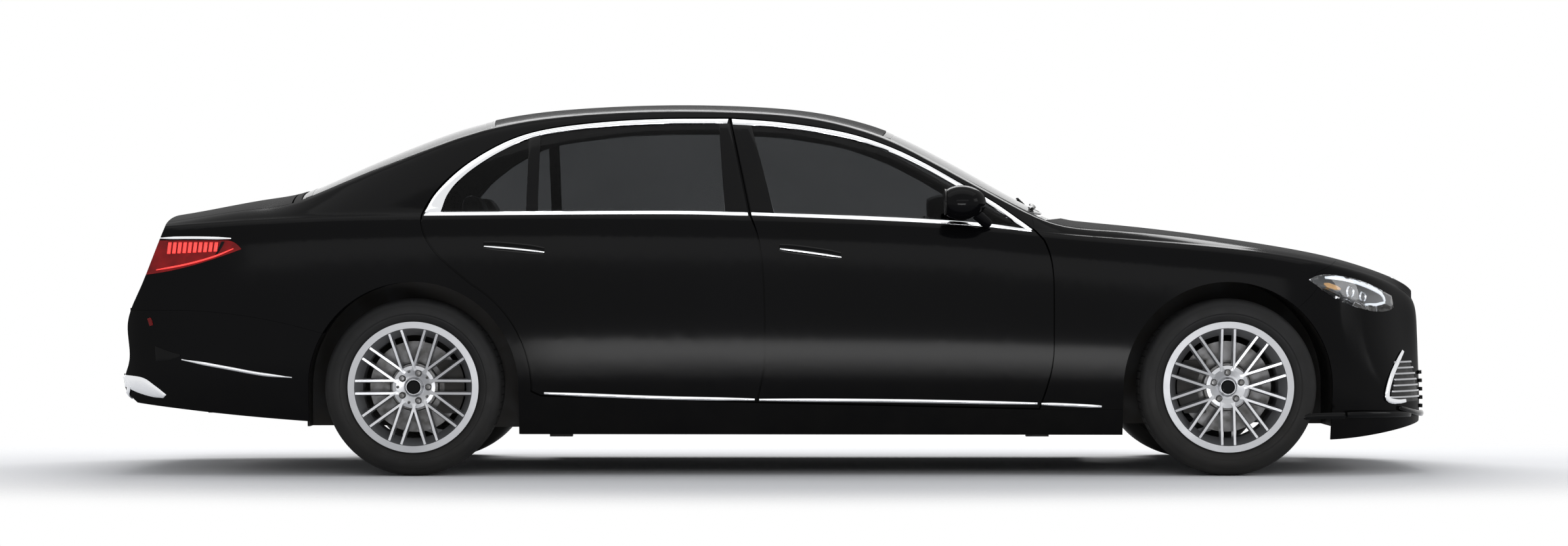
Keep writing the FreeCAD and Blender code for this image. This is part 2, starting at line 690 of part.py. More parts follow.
# Roof, glass over the cabin, bonnet, boot lid, wings, bumpers and lamps
keep("roof", only_solids(OUT.common(upright(ROOF, low=HIGH)).cut(INSIDE)))
GLASS_FRONT_BLOCK = body_block(GLASS_OUTER, BLOCK_START, along(NOSE_FACE), half=False)
GLASS_BACK_BLOCK = body_block(GLASS_INNER, BLOCK_START, along(NOSE_FACE), half=False)
for label, shape in (("windscreen", WINDSCREEN), ("rear_window", REAR_WINDOW)):
    sheet_of_glass = GLASS_FRONT_BLOCK.common(upright(shape, -SEAM, low=HIGH)).cut(GLASS_BACK_BLOCK)
    keep(label, only_solids(sheet_of_glass))
bonnet = OUT.common(upright(BONNET, -GAP / 2, low=up(500))).cut(UNDER)
keep("bonnet", only_solids(bonnet))

LID_LAMP_INNER = 470  # the lamps reach this far in from the side on the boot lid
middle = [("line", [plan_point(a), plan_point(b)]) for a, b in (
    ((-2800, -LID_LAMP_INNER), (-2000, -LID_LAMP_INNER)),
    ((-2000, -LID_LAMP_INNER), (-2000, LID_LAMP_INNER)),
    ((-2000, LID_LAMP_INNER), (-2800, LID_LAMP_INNER)),
    ((-2800, LID_LAMP_INNER), (-2800, -LID_LAMP_INNER)),
)]
lid_zone = OUT.common(upright(BOOT_LID, -GAP / 2, low=LID_BOTTOM + GAP))
lid = carve(lid_zone, UNDER_TRIMMED, BEHIND_CAR)
lamp_space = sideways(TAIL_LAMP, SEAM, outer=SIDE).cut(upright(middle))
keep("boot_lid", only_solids(lid.cut(lamp_space)))
keep("lid_lamps", only_solids(lid.common(sideways(TAIL_LAMP, outer=SIDE).cut(upright(middle, SEAM)))))
LAMP_DEPTH = 60
lamp_back = body_block(body_surface(LAMP_DEPTH), BLOCK_START, along(NOSE_FACE))
lamp_back = lamp_back.cut(moved(BEHIND_CAR, x=LAMP_DEPTH))
tail_lamp = OUT_SIDE.common(sideways(TAIL_LAMP, outer=0))
tail_lamp = only_solids(carve(tail_lamp, lamp_back, BEHIND_CAR, upright(BOOT_LID, GAP / 2)))
keep("tail_lamps", Part.makeCompound([tail_lamp, mirrored(tail_lamp)]))
headlamp = OUT_SIDE.common(sideways(HEADLAMP, outer=0))
headlamp = only_solids(carve(headlamp, lamp_back, upright(BONNET, GAP / 2)))
keep("headlamps", Part.makeCompound([headlamp, mirrored(headlamp)]))
wing = OUT_SIDE.common(sideways(WING, outer=0))
wing = carve(wing, UNDER_SIDE_TRIMMED, upright(BONNET, GAP / 2), upright(WINDSCREEN, SEAM), upright(COWL_RECESS, SEAM))
wing = carve(wing, sideways(HEADLAMP, SEAM, outer=0), sideways(FRONT_DOOR, GAP / 2), *ARCHES)
keep_pair("front_wing", only_solids(wing))

GRILLE_CORNERS = [
    (-360, 470), (360, 470), (405, 560), (400, 700), (350, 770), (-350, 770), (-400, 700), (-405, 560),
]


def front_point(p):
    return V(0, -across(p[0]), up(p[1]))


GRILLE = outline(GRILLE_CORNERS[0], ("line", *GRILLE_CORNERS[1:]), to=front_point)


def forwards(runs, grow, start, end):
    """An outline of the front view, carried along the car."""
    face = drawn(runs, grow)
    face.translate(V(start, 0, 0))
    return face.extrude(V(end - start, 0, 0))


front_span = outline((2030, -1100), ("line", (2700, -1100), (2700, 1100), (2030, 1100)), to=plan_point)
bumper = OUT.common(upright(front_span)).cut(UNDER)
bumper = carve(bumper, BELOW_CAR, upright(BONNET, GAP / 2, low=up(500)), forwards(GRILLE, SEAM, along(2400), NOSE))
for zone in (sideways(WING, SEAM, outer=0), sideways(HEADLAMP, SEAM, outer=0), ARCHES[0]):
    bumper = carve(bumper, zone, mirrored(zone))
keep("front_bumper", only_solids(bumper))
bumper = OUT.common(sideways(REAR_BUMPER, outer=SIDE))
bumper = carve(bumper, UNDER_TRIMMED, BEHIND_CAR, BELOW_CAR, ARCHES[1], mirrored(ARCHES[1]))
lid_stop = Part.makeCylinder(8, GAP + 12 - size("running_gap"), V(along(-2608), 0, LID_BOTTOM - 12))
keep("rear_bumper", only_solids(bumper.fuse([moved(lid_stop, y=across(500)), moved(lid_stop, y=across(-500))])))
SURROUND = 26
grille = [forwards(GRILLE, 0, along(2590), NOSE).cut(forwards(GRILLE, -SURROUND, along(2580), NOSE + 10))]
for step in range(4):
    bar = Part.makeBox(100, 900, 20, V(along(2560), -450, up(540 + 52 * step)))
    grille.append(forwards(GRILLE, 0, along(2596), NOSE - 6).common(bar))
bar = Part.makeBox(100, 26, 400, V(along(2560), -13, up(440)))
grille.append(forwards(GRILLE, 0, along(2592), NOSE - 4).common(bar))
keep("grille", grille[0].fuse(grille[1:]))
scuttle_top = body_block(body_surface(18), along(900), along(1300), half=False)
scuttle_back = body_block(body_surface(36), along(890), along(1310), half=False)
scuttle = scuttle_top.common(upright(COWL_RECESS, low=HIGH))
scuttle = carve(scuttle, scuttle_back, upright(BONNET, GAP / 2, low=HIGH))
keep("scuttle", only_solids(scuttle))

# Underbody: floor, tunnel, firewall, bulkhead, boot floor, wheel housings, rails and crash beams
FIT_SURFACE = body_surface(
    size("wall_depth") + SEAM, size("frame_depth") + SEAM, size("roof_depth") + SEAM, face=CABIN_END,
)
FIT = body_block(FIT_SURFACE, BLOCK_START, along(CABIN_END), half=False)
SHEET = size("floor_depth")
FLOOR = size("floor_level")
FIREWALL_X = FRONT_AXLE - size("firewall_behind")
RISER_X = along(-1180)  # the floor steps up here, ahead of the rear axle
BULKHEAD_X = along(-1400)
BOOT_FLOOR = up(480)
TUNNEL = 150
TUNNEL_TOP = up(370)
TUNNEL_STEP = along(-520)  # behind this the tunnel is low enough for the rear seats
SEAT_REST = FLOOR + size("seat_height") - size("running_gap")


def slab(x0, x1, half_width, z0, z1):
    return Part.makeBox(x1 - x0, 2 * half_width, z1 - z0, V(x0, -half_width, z0))


def housing(axle_x, inner):
    """A wheel housing's outer and inner shapes: an arch-shaped tub from the body side to its inner wall."""
    ground = Part.makeBox(2000, 3000, 190, V(axle_x - 1000, -2000, 0))
    outer = sideways(arch(axle_x), 20, outer=-inner + 10).cut(ground)
    hollow = sideways(arch(axle_x), 10, outer=-inner)
    return outer, hollow


FRONT_WELL = 480
REAR_WELL = 690
tubs = []
hollows = []
for axle_x, inner in ((FRONT_AXLE, FRONT_WELL), (REAR_AXLE, REAR_WELL)):
    outer, hollow = housing(axle_x, inner)
    tubs += both_sides(outer)
    hollows += both_sides(hollow)
shell = [
    slab(RISER_X, FIREWALL_X, 900, FLOOR - SHEET, FLOOR),
    slab(RISER_X, TUNNEL_STEP, TUNNEL, FLOOR, SEAT_REST),
    slab(TUNNEL_STEP, FIREWALL_X, TUNNEL, FLOOR, TUNNEL_TOP),
    slab(RISER_X - SHEET, RISER_X, 900, FLOOR - SHEET, BOOT_FLOOR + SHEET),
    slab(FIREWALL_X, FIREWALL_X + SHEET, 950, FLOOR - SHEET, up(925)),
    slab(BULKHEAD_X - SHEET, BULKHEAD_X, 900, BOOT_FLOOR, up(940)),
    slab(along(-1930), BULKHEAD_X, 900, up(940), up(940) + SHEET),
    slab(along(-2550), RISER_X, 900, BOOT_FLOOR, BOOT_FLOOR + SHEET),
    slab(along(-2545), along(-2525), 640, BOOT_FLOOR, up(625)),
]
FRONT_SEAT_Y = 400
REAR_SEAT_Y = 340
both_behind = BEHIND_SIDE.fuse(mirrored(BEHIND_SIDE))
bonnet_stops = []
for side in (1, -1):
    rail = Part.makeBox(along(2480) - FIREWALL_X, 60, 100, V(FIREWALL_X, -30, up(330)))
    shell.append(moved(rail, y=side * 445))
    corners = [(FIREWALL_X, 260), (along(2400), 260), (along(2400), 660), (along(2200), 720), (FIREWALL_X, 860)]
    wall = Part.makePolygon([V(x, -5, up(z)) for x, z in corners + corners[:1]])
    shell.append(moved(Part.Face(wall).extrude(V(0, 10, 0)), y=side * 475))
    bonnet_stops.append(Part.makeCylinder(6, up(848.2) - up(640), V(along(2200), side * 470, up(640))))
    for rail_y in (-190, 190):
        rail = Part.makeBox(420, 40, SEAT_REST - FLOOR, V(along(30), -20, FLOOR))
        shell.append(moved(rail, y=side * FRONT_SEAT_Y + rail_y))
    pedestal = Part.makeBox(440, 560, SEAT_REST - FLOOR, V(along(-1080), -280, FLOOR))
    shell.append(moved(pedestal, y=side * REAR_SEAT_Y))
shell.append(slab(along(2480), along(2530), 600, up(350), up(470)))
JACK_PAD_Y = across(730)
JACK_PAD_Z = up(148)
for x in (along(1000), along(-900)):
    for side in (1, -1):
        pad = Part.makeBox(90, 60, FLOOR - SHEET - JACK_PAD_Z, V(x, -30, JACK_PAD_Z))
        shell.append(moved(pad, y=side * JACK_PAD_Y))
tunnel_space = slab(TUNNEL_STEP + 12, FIREWALL_X + 60, TUNNEL - 12, FLOOR - 60, TUNNEL_TOP - 12)
low_tunnel_space = slab(along(-1420), TUNNEL_STEP + 12, TUNNEL - 12, FLOOR - 60, SEAT_REST - 9)
front_tubs, rear_tubs = tubs[:2], tubs[2:]
inner_shell = shell[0].fuse(shell[1:] + rear_tubs).common(FIT)
for outer_piece in [tub.common(both_behind) for tub in front_tubs] + bonnet_stops:
    inner_shell = inner_shell.fuse(outer_piece)
axle_ways = [
    slab(FRONT_AXLE - 175, FRONT_AXLE + 175, FRONT_WELL + 2, up(180), up(262)),
    slab(REAR_AXLE - 90, REAR_AXLE + 90, REAR_WELL + 2, up(180), up(425)),
]
sill_ends = both_sides(Part.makeBox(40, 215, 90, V(along(1340), across(-1000), up(176))))
solid_shell = carve(inner_shell, *hollows, *axle_ways, *sill_ends, tunnel_space, low_tunnel_space)
floor_structure = only_solids(solid_shell.removeSplitter())

# The floor structure's own pressings, parted where they are welded together
WHEELHOUSE_SPAN = along(-1880), along(-985)
WHEELHOUSE_INNER = 665
STRUCTURE_WIDTH = 1100
STRUCTURE_TOP = up(1300)


def beside(x0, x1, inner, z0, z1):
    """The space on both sides of the car between two stations, further out than inner."""
    return both_sides(Part.makeBox(x1 - x0, STRUCTURE_WIDTH - inner, z1 - z0, V(x0, inner, z0)))


def within(shape, spaces):
    """What of a shape lies in some spaces."""
    return only_solids(Part.makeCompound([shape.common(space) for space in spaces]))


wheelhouse_spaces = beside(*WHEELHOUSE_SPAN, WHEELHOUSE_INNER, 0, STRUCTURE_TOP)
keep("rear_wheelhouses", within(floor_structure, wheelhouse_spaces))
middle_structure = carve(floor_structure, *wheelhouse_spaces)
front_space = slab(FIREWALL_X, NOSE, STRUCTURE_WIDTH, 0, STRUCTURE_TOP)
keep("front_structure", within(middle_structure, [front_space]))
keep("tunnel", within(middle_structure, [slab(RISER_X, FIREWALL_X, TUNNEL, 0, STRUCTURE_TOP)]))
keep("floor_pan", within(middle_structure, beside(RISER_X, FIREWALL_X, TUNNEL, 0, FLOOR)))
keep("seat_mounts", within(middle_structure, beside(RISER_X, FIREWALL_X, TUNNEL, FLOOR, STRUCTURE_TOP)))
boot_top = BOOT_FLOOR + SHEET
keep("boot_floor", within(middle_structure, [slab(along(-2700), RISER_X, STRUCTURE_WIDTH, 0, boot_top)]))
keep("rear_bulkhead", within(middle_structure, [
    slab(along(-2700), RISER_X, STRUCTURE_WIDTH, boot_top, STRUCTURE_TOP)
]))


# Turned and padded pieces are drawn as sketches whose points are bound to the sheet
def sketch(body, plane, points, name):
    """A closed sketch of straight runs through points whose two coordinates are expressions."""
    drawing = body.newObject("Sketcher::SketchObject", name)
    origin_plane = next(f for f in body.Origin.OriginFeatures if f.Role == plane)
    drawing.AttachmentSupport = [(origin_plane, "")]
    drawing.MapMode = "FlatFace"
    count = len(points)
    ring = [V(math.cos(2 * math.pi * i / count), math.sin(2 * math.pi * i / count), 0) for i in range(count)]
    for i in range(count):
        drawing.addGeometry(Part.LineSegment(ring[i] * 100, ring[(i + 1) % count] * 100), False)
    for i in range(count):
        drawing.addConstraint(Sketcher.Constraint("Coincident", i, 2, (i + 1) % count, 1))
    for i, pair in enumerate(points):
        for kind, expression in zip(("DistanceX", "DistanceY"), pair):
            index = drawing.addConstraint(Sketcher.Constraint(kind, -1, 1, i, 1, 1.0))
            drawing.setExpression("Constraints[%d]" % index, str(expression))
    return drawing


def new_body(label):
    body = doc.addObject("PartDesign::Body", label)
    body.Label = label
    NODES[label] = body
    return body


def turned(body, points, name="section"):
    """A solid turned about the body's Y axis from a section of radius and width."""
    revolution = body.newObject("PartDesign::Revolution", name + "_turned")
    revolution.Profile = sketch(body, "XY_Plane", points, name)
    revolution.ReferenceAxis = (revolution.Profile[0], ["V_Axis"])
    revolution.Angle = 360
    body.Tip = revolution
    return revolution


def padded(body, points, width, name="profile"):
    """A side profile in X and Z, made as wide as an expression says, on both sides of the body's middle plane."""
    pad = body.newObject("PartDesign::Pad", name + "_pad")
    pad.Profile = sketch(body, "XZ_Plane", points, name)
    pad.Midplane = True
    pad.setExpression("Length", width)
    body.Tip = pad
    return pad


TYRE_SECTION = [
    ("Sizes.bead_radius", "-Sizes.rim_width / 2 + 4.3"),
    ("Sizes.flange_radius + 0.5", "-Sizes.rim_width / 2 + 4.3"),
    ("Sizes.flange_radius + 16", "-Sizes.tyre_width / 2 + 6"),
    ("Sizes.tyre_radius - 62", "-Sizes.tyre_width / 2"),
    ("Sizes.tyre_radius - 32", "-Sizes.tyre_width / 2 + 6"),
    ("Sizes.tyre_radius - 10", "-Sizes.tyre_width / 2 + 18"),
    ("Sizes.tyre_radius", "-Sizes.tyre_width / 2 + 44"),
    ("Sizes.tyre_radius", "Sizes.tyre_width / 2 - 44"),
    ("Sizes.tyre_radius - 10", "Sizes.tyre_width / 2 - 18"),
    ("Sizes.tyre_radius - 32", "Sizes.tyre_width / 2 - 6"),
    ("Sizes.tyre_radius - 62", "Sizes.tyre_width / 2"),
    ("Sizes.flange_radius + 16", "Sizes.tyre_width / 2 - 6"),
    ("Sizes.flange_radius + 0.5", "Sizes.rim_width / 2 - 4.3"),
    ("Sizes.bead_radius", "Sizes.rim_width / 2 - 4.3"),
]
DISC_SECTION = [
    ("0", "-45.7"),
    ("92", "-45.7"),
    ("96", "-41"),
    ("96", "2"),
    ("Sizes.disc_radius", "2"),
    ("Sizes.disc_radius", "2 + Sizes.disc_depth"),
    ("88", "2 + Sizes.disc_depth"),
    ("88", "-37"),
    ("24", "-37"),
    ("24", "36"),
    ("0", "36"),
]
SPINDLE = 24  # radius of the disc's spindle
DISC_MIDDLE = 2 + size("disc_depth") / 2  # inboard of the tyre's middle
CORNERS = [
    ("front_left", FRONT_AXLE, size("front_track") / 2, 0),
    ("front_right", FRONT_AXLE, -size("front_track") / 2, 0),
    ("rear_left", REAR_AXLE, size("rear_track") / 2, 1),
    ("rear_right", REAR_AXLE, -size("rear_track") / 2, 1),
]


def rim_shape():
    """A wheel with pairs of parallel spokes, its outer face towards -Y and its axis along Y."""
    half = size("rim_width") / 2
    bead = size("bead_radius") - 0.5
    flange = size("flange_radius")
    hub = 70
    face = [
        (flange, -half - 4), (flange, -half + 3), (bead, -half + 4), (bead, -half + 40), (bead - 26, -half + 70),
        (bead - 26, half - 40), (bead, half - 20), (bead, half - 4), (flange, half - 3), (flange, half + 2),
        (bead - 6, half + 2), (bead - 36, half - 40), (bead - 36, -half + 60), (bead - 14, -half + 10), (bead - 8, -half - 4),
    ]
    barrel = Part.Face(Part.makePolygon([V(r, y, 0) for r, y in face + face[:1]])).revolve(V(0, 0, 0), V(0, 1, 0), 360)
    centre = [
        (0, -70), (34, -70), (38, -64), (hub - 24, -66), (hub, -74), (hub + 14, -72), (hub + 14, -46), (0, -46),
    ]
    middle = Part.Face(Part.makePolygon([V(r, y, 0) for r, y in centre + centre[:1]])).revolve(V(0, 0, 0), V(0, 1, 0), 360)
    pieces = [middle]
    pairs = int(size("spoke_pairs"))
    front, root = size("spoke_face") / 2, size("spoke_root") / 2
    for k in range(pairs):
        for side in (-1, 1):
            x = side * size("spoke_offset")
            inner, outer = 60, bead - 12
            ends = []
            for r, y_front, y_back in ((inner, -76, -48), (outer, -half - 2, -half + 30)):
                corners = [(x - front, y_front), (x + front, y_front), (x + root, y_back), (x - root, y_back)]
                ends.append(Part.makePolygon([V(cx, cy, r) for cx, cy in corners + corners[:1]]))
            spoke = Part.makeLoft(ends, True, True)
            spoke.rotate(V(0, 0, 0), V(0, 1, 0), 360.0 * k / pairs)
            pieces.append(spoke)
    wheel = barrel.fuse(pieces)
    holes = []
    for k in range(5):
        for radius, angle, bore in ((size("bolt_circle"), 0, 13.5), (64, 36, 6)):
            hole = Part.makeCylinder(bore, 120, V(0, -110, radius), V(0, 1, 0))
            hole.rotate(V(0, 0, 0), V(0, 1, 0), 72 * k + angle)
            holes.append(hole)
    return only_solids(wheel.cut(holes))


RIM = rim_shape()
HALF_STEP = 180.0 / size("spoke_pairs")  # the rear wheels stand turned by half a spoke pair's angle


for corner, axle_x, y, rear in CORNERS:
    centre = V(axle_x, y, WHEEL_Z)
    outward = FreeCAD.Rotation(V(0, 0, 1), 0 if y < 0 else 180)
    tyre = new_body("tyre_" + corner)
    turned(tyre, TYRE_SECTION)
    tyre.Placement = FreeCAD.Placement(centre, outward)
    disc = new_body("brake_disc_" + corner)
    turned(disc, DISC_SECTION)
    disc.Placement = FreeCAD.Placement(centre, outward)
    rim = keep("rim_" + corner, RIM)
    turn = FreeCAD.Rotation(V(0, 1, 0), HALF_STEP * rear)
    rim.Placement = FreeCAD.Placement(centre, outward.multiply(turn))

# Axles: knuckles with calipers, arms, subframes, drive shafts and the engine
STEER_Y = size("front_track") / 2 - size("steer_offset")


def rod(start, end, radius):
    direction = end - start
    return Part.makeCylinder(radius, direction.Length, start, direction)


def caliper(axle_x, y_outer, ahead):
    """A block over the disc's edge, with the slot that the disc runs in."""
    radius = size("disc_radius")
    depth = size("disc_depth")
    ring = Part.makeCylinder(radius + 17, depth + 76, V(0, -depth / 2 - 38, 0), V(0, 1, 0))
    ring = ring.cut(Part.makeCylinder(radius - 62, depth + 78, V(0, -depth / 2 - 39, 0), V(0, 1, 0)))
    ring = ring.cut(Part.makeCylinder(radius + 6, depth + 12, V(0, -depth / 2 - 6, 0), V(0, 1, 0)))
    block = ring.common(Part.makeBox(260, 200, 210, V(radius * 0.45, -100, -105)))
    if not ahead:
        block.rotate(V(0, 0, 0), V(0, 0, 1), 180)
    block.translate(V(axle_x, y_outer, WHEEL_Z))
    return block


def spindle_bore(axle_x, sign, track):
    """The bore that the disc's spindle turns in, open towards the disc."""
    start = V(axle_x, sign * (track / 2 - 42), WHEEL_Z)
    return rod(start, V(axle_x, sign * 900, WHEEL_Z), SPINDLE + size("running_gap"))


def hub_bearing(axle_x, sign, start, track):
    """A bearing housing from a place along the axle out to the disc's bell."""
    return rod(V(axle_x, sign * start, WHEEL_Z), V(axle_x, sign * (track / 2 + 29), WHEEL_Z), 52)


EYE_Z = WHEEL_Z - 128
EYE_DEPTH = 36
PIN = 12
for side, sign in (("left", 1), ("right", -1)):
    disc_y = sign * (size("front_track") / 2 - DISC_MIDDLE)
    hub = hub_bearing(FRONT_AXLE, sign, STEER_Y - 40, size("front_track"))
    foot = V(FRONT_AXLE, sign * STEER_Y, EYE_Z + EYE_DEPTH / 2 + 6)
    post = rod(foot, V(FRONT_AXLE, sign * STEER_Y, WHEEL_Z + 60), 20)
    pin = rod(foot - V(0, 0, EYE_DEPTH + 10), foot, PIN)
    bracket = Part.makeBox(150, 30, 60, V(FRONT_AXLE - 150, sign * (STEER_Y + 2) - 15, WHEEL_Z - 30))
    grip = caliper(FRONT_AXLE, disc_y, False)
    bore = spindle_bore(FRONT_AXLE, sign, size("front_track"))
    keep("knuckle_front_" + side, only_solids(hub.fuse([post, pin, bracket, grip]).cut(bore)))
engine = doc.addObject("Part::Box", "engine")
engine.Label = "engine"
for side, alias in (("Length", "engine_length"), ("Width", "engine_width"), ("Height", "engine_height")):
    engine.setExpression(side, "Sizes." + alias)
ENGINE_Z = up(290)
engine.Placement.Base = V(along(1320), -size("engine_width") / 2, ENGINE_Z)
NODES["engine"] = engine
SUBFRAME_TOP = WHEEL_Z - 90
front_parts = [Part.makeBox(420, 920, 60, V(FRONT_AXLE - 210, -460, SUBFRAME_TOP - 60))]
for sign in (1, -1):
    ball = V(FRONT_AXLE, sign * STEER_Y, EYE_Z)
    front_parts.append(rod(V(FRONT_AXLE - 170, sign * 380, WHEEL_Z - 118), ball, 18))
    front_parts.append(rod(V(FRONT_AXLE + 170, sign * 380, WHEEL_Z - 118), ball, 18))
    front_parts.append(rod(ball - V(0, 0, EYE_DEPTH / 2), ball + V(0, 0, EYE_DEPTH / 2), 30))
    engine_mount = ENGINE_Z - size("running_gap") - SUBFRAME_TOP
    front_parts.append(Part.makeBox(140, 60, engine_mount, V(FRONT_AXLE - 70, sign * 230 - 30, SUBFRAME_TOP)))
    rail_mount = up(330) - size("running_gap") - SUBFRAME_TOP
    front_parts.append(Part.makeBox(120, 36, rail_mount, V(FRONT_AXLE - 60, sign * 440 - 18, SUBFRAME_TOP)))
eye_bores = [
    rod(V(FRONT_AXLE, sign * STEER_Y, EYE_Z - 60), V(FRONT_AXLE, sign * STEER_Y, EYE_Z + 60), PIN + size("running_gap"))
    for sign in (1, -1)
]
keep("front_axle", only_solids(front_parts[0].fuse(front_parts[1:]).cut(eye_bores)))
REAR_FRAME_Z = WHEEL_Z - 56
REAR_FRAME_DEPTH = 70
rear_parts = [
    Part.makeBox(430, 900, REAR_FRAME_DEPTH, V(REAR_AXLE - 215, -450, REAR_FRAME_Z)),
    Part.makeBox(300, 260, 170, V(REAR_AXLE - 150, -130, REAR_FRAME_Z)),
    rod(V(REAR_AXLE, -700, WHEEL_Z), V(REAR_AXLE, 700, WHEEL_Z), 22),
]
for sign in (1, -1):
    disc_y = sign * (size("rear_track") / 2 - DISC_MIDDLE)
    rear_parts.append(hub_bearing(REAR_AXLE, sign, 660, size("rear_track")))
    for x in (-180, 180):
        rear_parts.append(rod(V(REAR_AXLE + x, sign * 430, WHEEL_Z - 30), V(REAR_AXLE, sign * 690, WHEEL_Z - 80), 20))
    rear_parts.append(Part.makeBox(40, 40, 160, V(REAR_AXLE - 20, sign * 690 - 20, WHEEL_Z - 100)))
    rear_parts.append(Part.makeBox(150, 90, 60, V(REAR_AXLE, sign * 735 - 45, WHEEL_Z - 30)))
    rear_parts.append(caliper(REAR_AXLE, disc_y, True))
    frame_top = REAR_FRAME_Z + REAR_FRAME_DEPTH
    body_mount = BOOT_FLOOR - size("running_gap") - frame_top
    for x in (-190, 150):
        rear_parts.append(Part.makeBox(40, 40, body_mount, V(REAR_AXLE + x, sign * 405 - 20, frame_top)))
bores = [spindle_bore(REAR_AXLE, sign, size("rear_track")) for sign in (1, -1)]
keep("rear_axle", only_solids(rear_parts[0].fuse(rear_parts[1:]).cut(bores)))
UNDERTRAY_TOP = SUBFRAME_TOP - 60 - size("running_gap")
undertray = Part.makeBox(along(2440) - along(1230), 820, 8, V(along(1230), -410, UNDERTRAY_TOP - 8))
keep("undertray", undertray)
radius = size("exhaust_radius")
EXHAUST_Z = up(254)
exhaust = [Part.makeBox(260, 1000, 150, V(along(-2300), -500, EXHAUST_Z - 20))]
for sign in (1, -1):
    exhaust.append(rod(V(along(1150), sign * 80, EXHAUST_Z), V(along(-2050), sign * 80, EXHAUST_Z), radius))
for x in (850, -900):
    half = TUNNEL - 12 - size("running_gap")
    exhaust.append(slab(along(x), along(x) + 40, half, EXHAUST_Z - 6, EXHAUST_Z + 6))
keep("exhaust", only_solids(exhaust[0].fuse(exhaust[1:])))

# Cabin: dashboard, seats and steering wheel
DASH_SECTION = [
    ("-496", "640"),
    ("-436", "600"),
    ("-Sizes.running_gap", "600"),
    ("-Sizes.running_gap", "900"),
    ("-196", "925"),
    ("-356", "905"),
    ("-456", "860"),
    ("-496", "760"),
]
dash = new_body("dashboard")
padded(dash, DASH_SECTION, "1380")
dash.setExpression("Placement.Base.x", "Sizes.body_length / 2 - Sizes.front_overhang - Sizes.firewall_behind")
WHEEL_CENTRE = V(along(560), 380, up(850))
LEAN = math.radians(24)  # the steering column's rise towards the driver
COLUMN = 28
COLUMN_LENGTH = 250
axis = V(-math.cos(LEAN), 0, math.sin(LEAN))
socket = dash.newObject("PartDesign::SubtractiveCylinder", "column_socket")
socket.Radius = COLUMN + size("running_gap")
socket.Height = COLUMN_LENGTH
socket.Placement = FreeCAD.Placement(
    WHEEL_CENTRE - axis * (COLUMN_LENGTH + 5) - V(FIREWALL_X, 0, 0), FreeCAD.Rotation(V(0, 0, 1), axis)
)
dash.Tip = socket

# Seats: side profiles from the seat's own place, heights above the floor
SEAT_PROFILE = [
    (-60, 0), (430, 0), (490, 100), (480, 170), (60, 130), (-90, 710), (-110, 880), (-190, 900), (-240, 870),
    (-220, 680), (-130, 30),
]
REAR_PROFILE = [
    (-120, 0), (380, 0), (440, 80), (430, 160), (10, 130), (-190, 680), (-230, 830), (-300, 840), (-350, 800),
    (-310, 600), (-140, 30),
]


def seat(points, x, y, width):
    base = FLOOR + size("seat_height")
    edges = Part.makePolygon([V(x + px, y - width / 2, base + pz) for px, pz in points + points[:1]])
    return Part.Face(edges).extrude(V(0, width, 0))


front_pair = [seat(SEAT_PROFILE, along(60), sign * FRONT_SEAT_Y, 490) for sign in (1, -1)]
keep("front_seats", Part.makeCompound(front_pair))
rear_pair = [seat(REAR_PROFILE, along(-980), sign * REAR_SEAT_Y, 620) for sign in (1, -1)]
keep("rear_seats", Part.makeCompound(rear_pair))

wheel_radius = size("steering_wheel_radius")
ring = Part.makeTorus(wheel_radius, 15, V(0, 0, 0), V(0, 0, 1))
hub = Part.makeCylinder(62, 46, V(0, 0, -30), V(0, 0, 1))
spokes = [
    Part.makeBox(2 * wheel_radius, 30, 14, V(-wheel_radius, -15, -12)),
    Part.makeBox(30, wheel_radius, 14, V(-15, 0, -12)),
]
column = Part.makeCylinder(COLUMN, COLUMN_LENGTH - 25, V(0, 0, -COLUMN_LENGTH), V(0, 0, 1))
wheel = keep("steering_wheel", ring.fuse([hub, column] + spokes))
wheel.Placement = FreeCAD.Placement(WHEEL_CENTRE, FreeCAD.Rotation(V(0, 0, 1), axis))


# Door mirrors
def mirror_shape():
    housing = Part.makeSphere(1)
    matrix = FreeCAD.Matrix()
    matrix.scale(95, 112, 68)
    housing = housing.transformGeometry(matrix)
    housing = housing.common(Part.makeBox(400, 400, 400, V(-60, -200, -200)))
    housing.translate(V(along(735), -952, up(1078)))
    foot = rod(V(along(840), -885, up(995)), V(along(770), -960, up(1050)), 22)
    return housing.fuse([foot])


keep_pair("mirror", only_solids(mirror_shape().cut([OUT_SIDE])))

doc.recompute()
for item in doc.Objects:
    if "Invalid" in item.State or "Error" in item.State:
        raise RuntimeError("%s failed: %s" % (item.Label, item.State))
for label, node in NODES.items():
    if node.Shape.isNull() or not node.Shape.isValid():
        raise RuntimeError("%s has no valid shape" % label)
os.makedirs("parts", exist_ok=True)
for label, node in NODES.items():
    node.Shape.exportStep("parts/%s.step" % label)
    box = node.Shape.BoundBox
    spans = "x %.0f to %.0f, y %.0f to %.0f, z %.0f to %.0f" % (
        box.XMin, box.XMax, box.YMin, box.YMax, box.ZMin, box.ZMax,
    )
    print("%-20s %d solids, %s, %.1f litres" % (label, len(node.Shape.Solids), spans, node.Shape.Volume / 1e6))
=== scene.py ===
"""Looks of the long-wheelbase limousine saloon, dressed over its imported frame."""
import json
import math

import bpy
from mathutils import Matrix, Vector
from mathutils.bvhtree import BVHTree

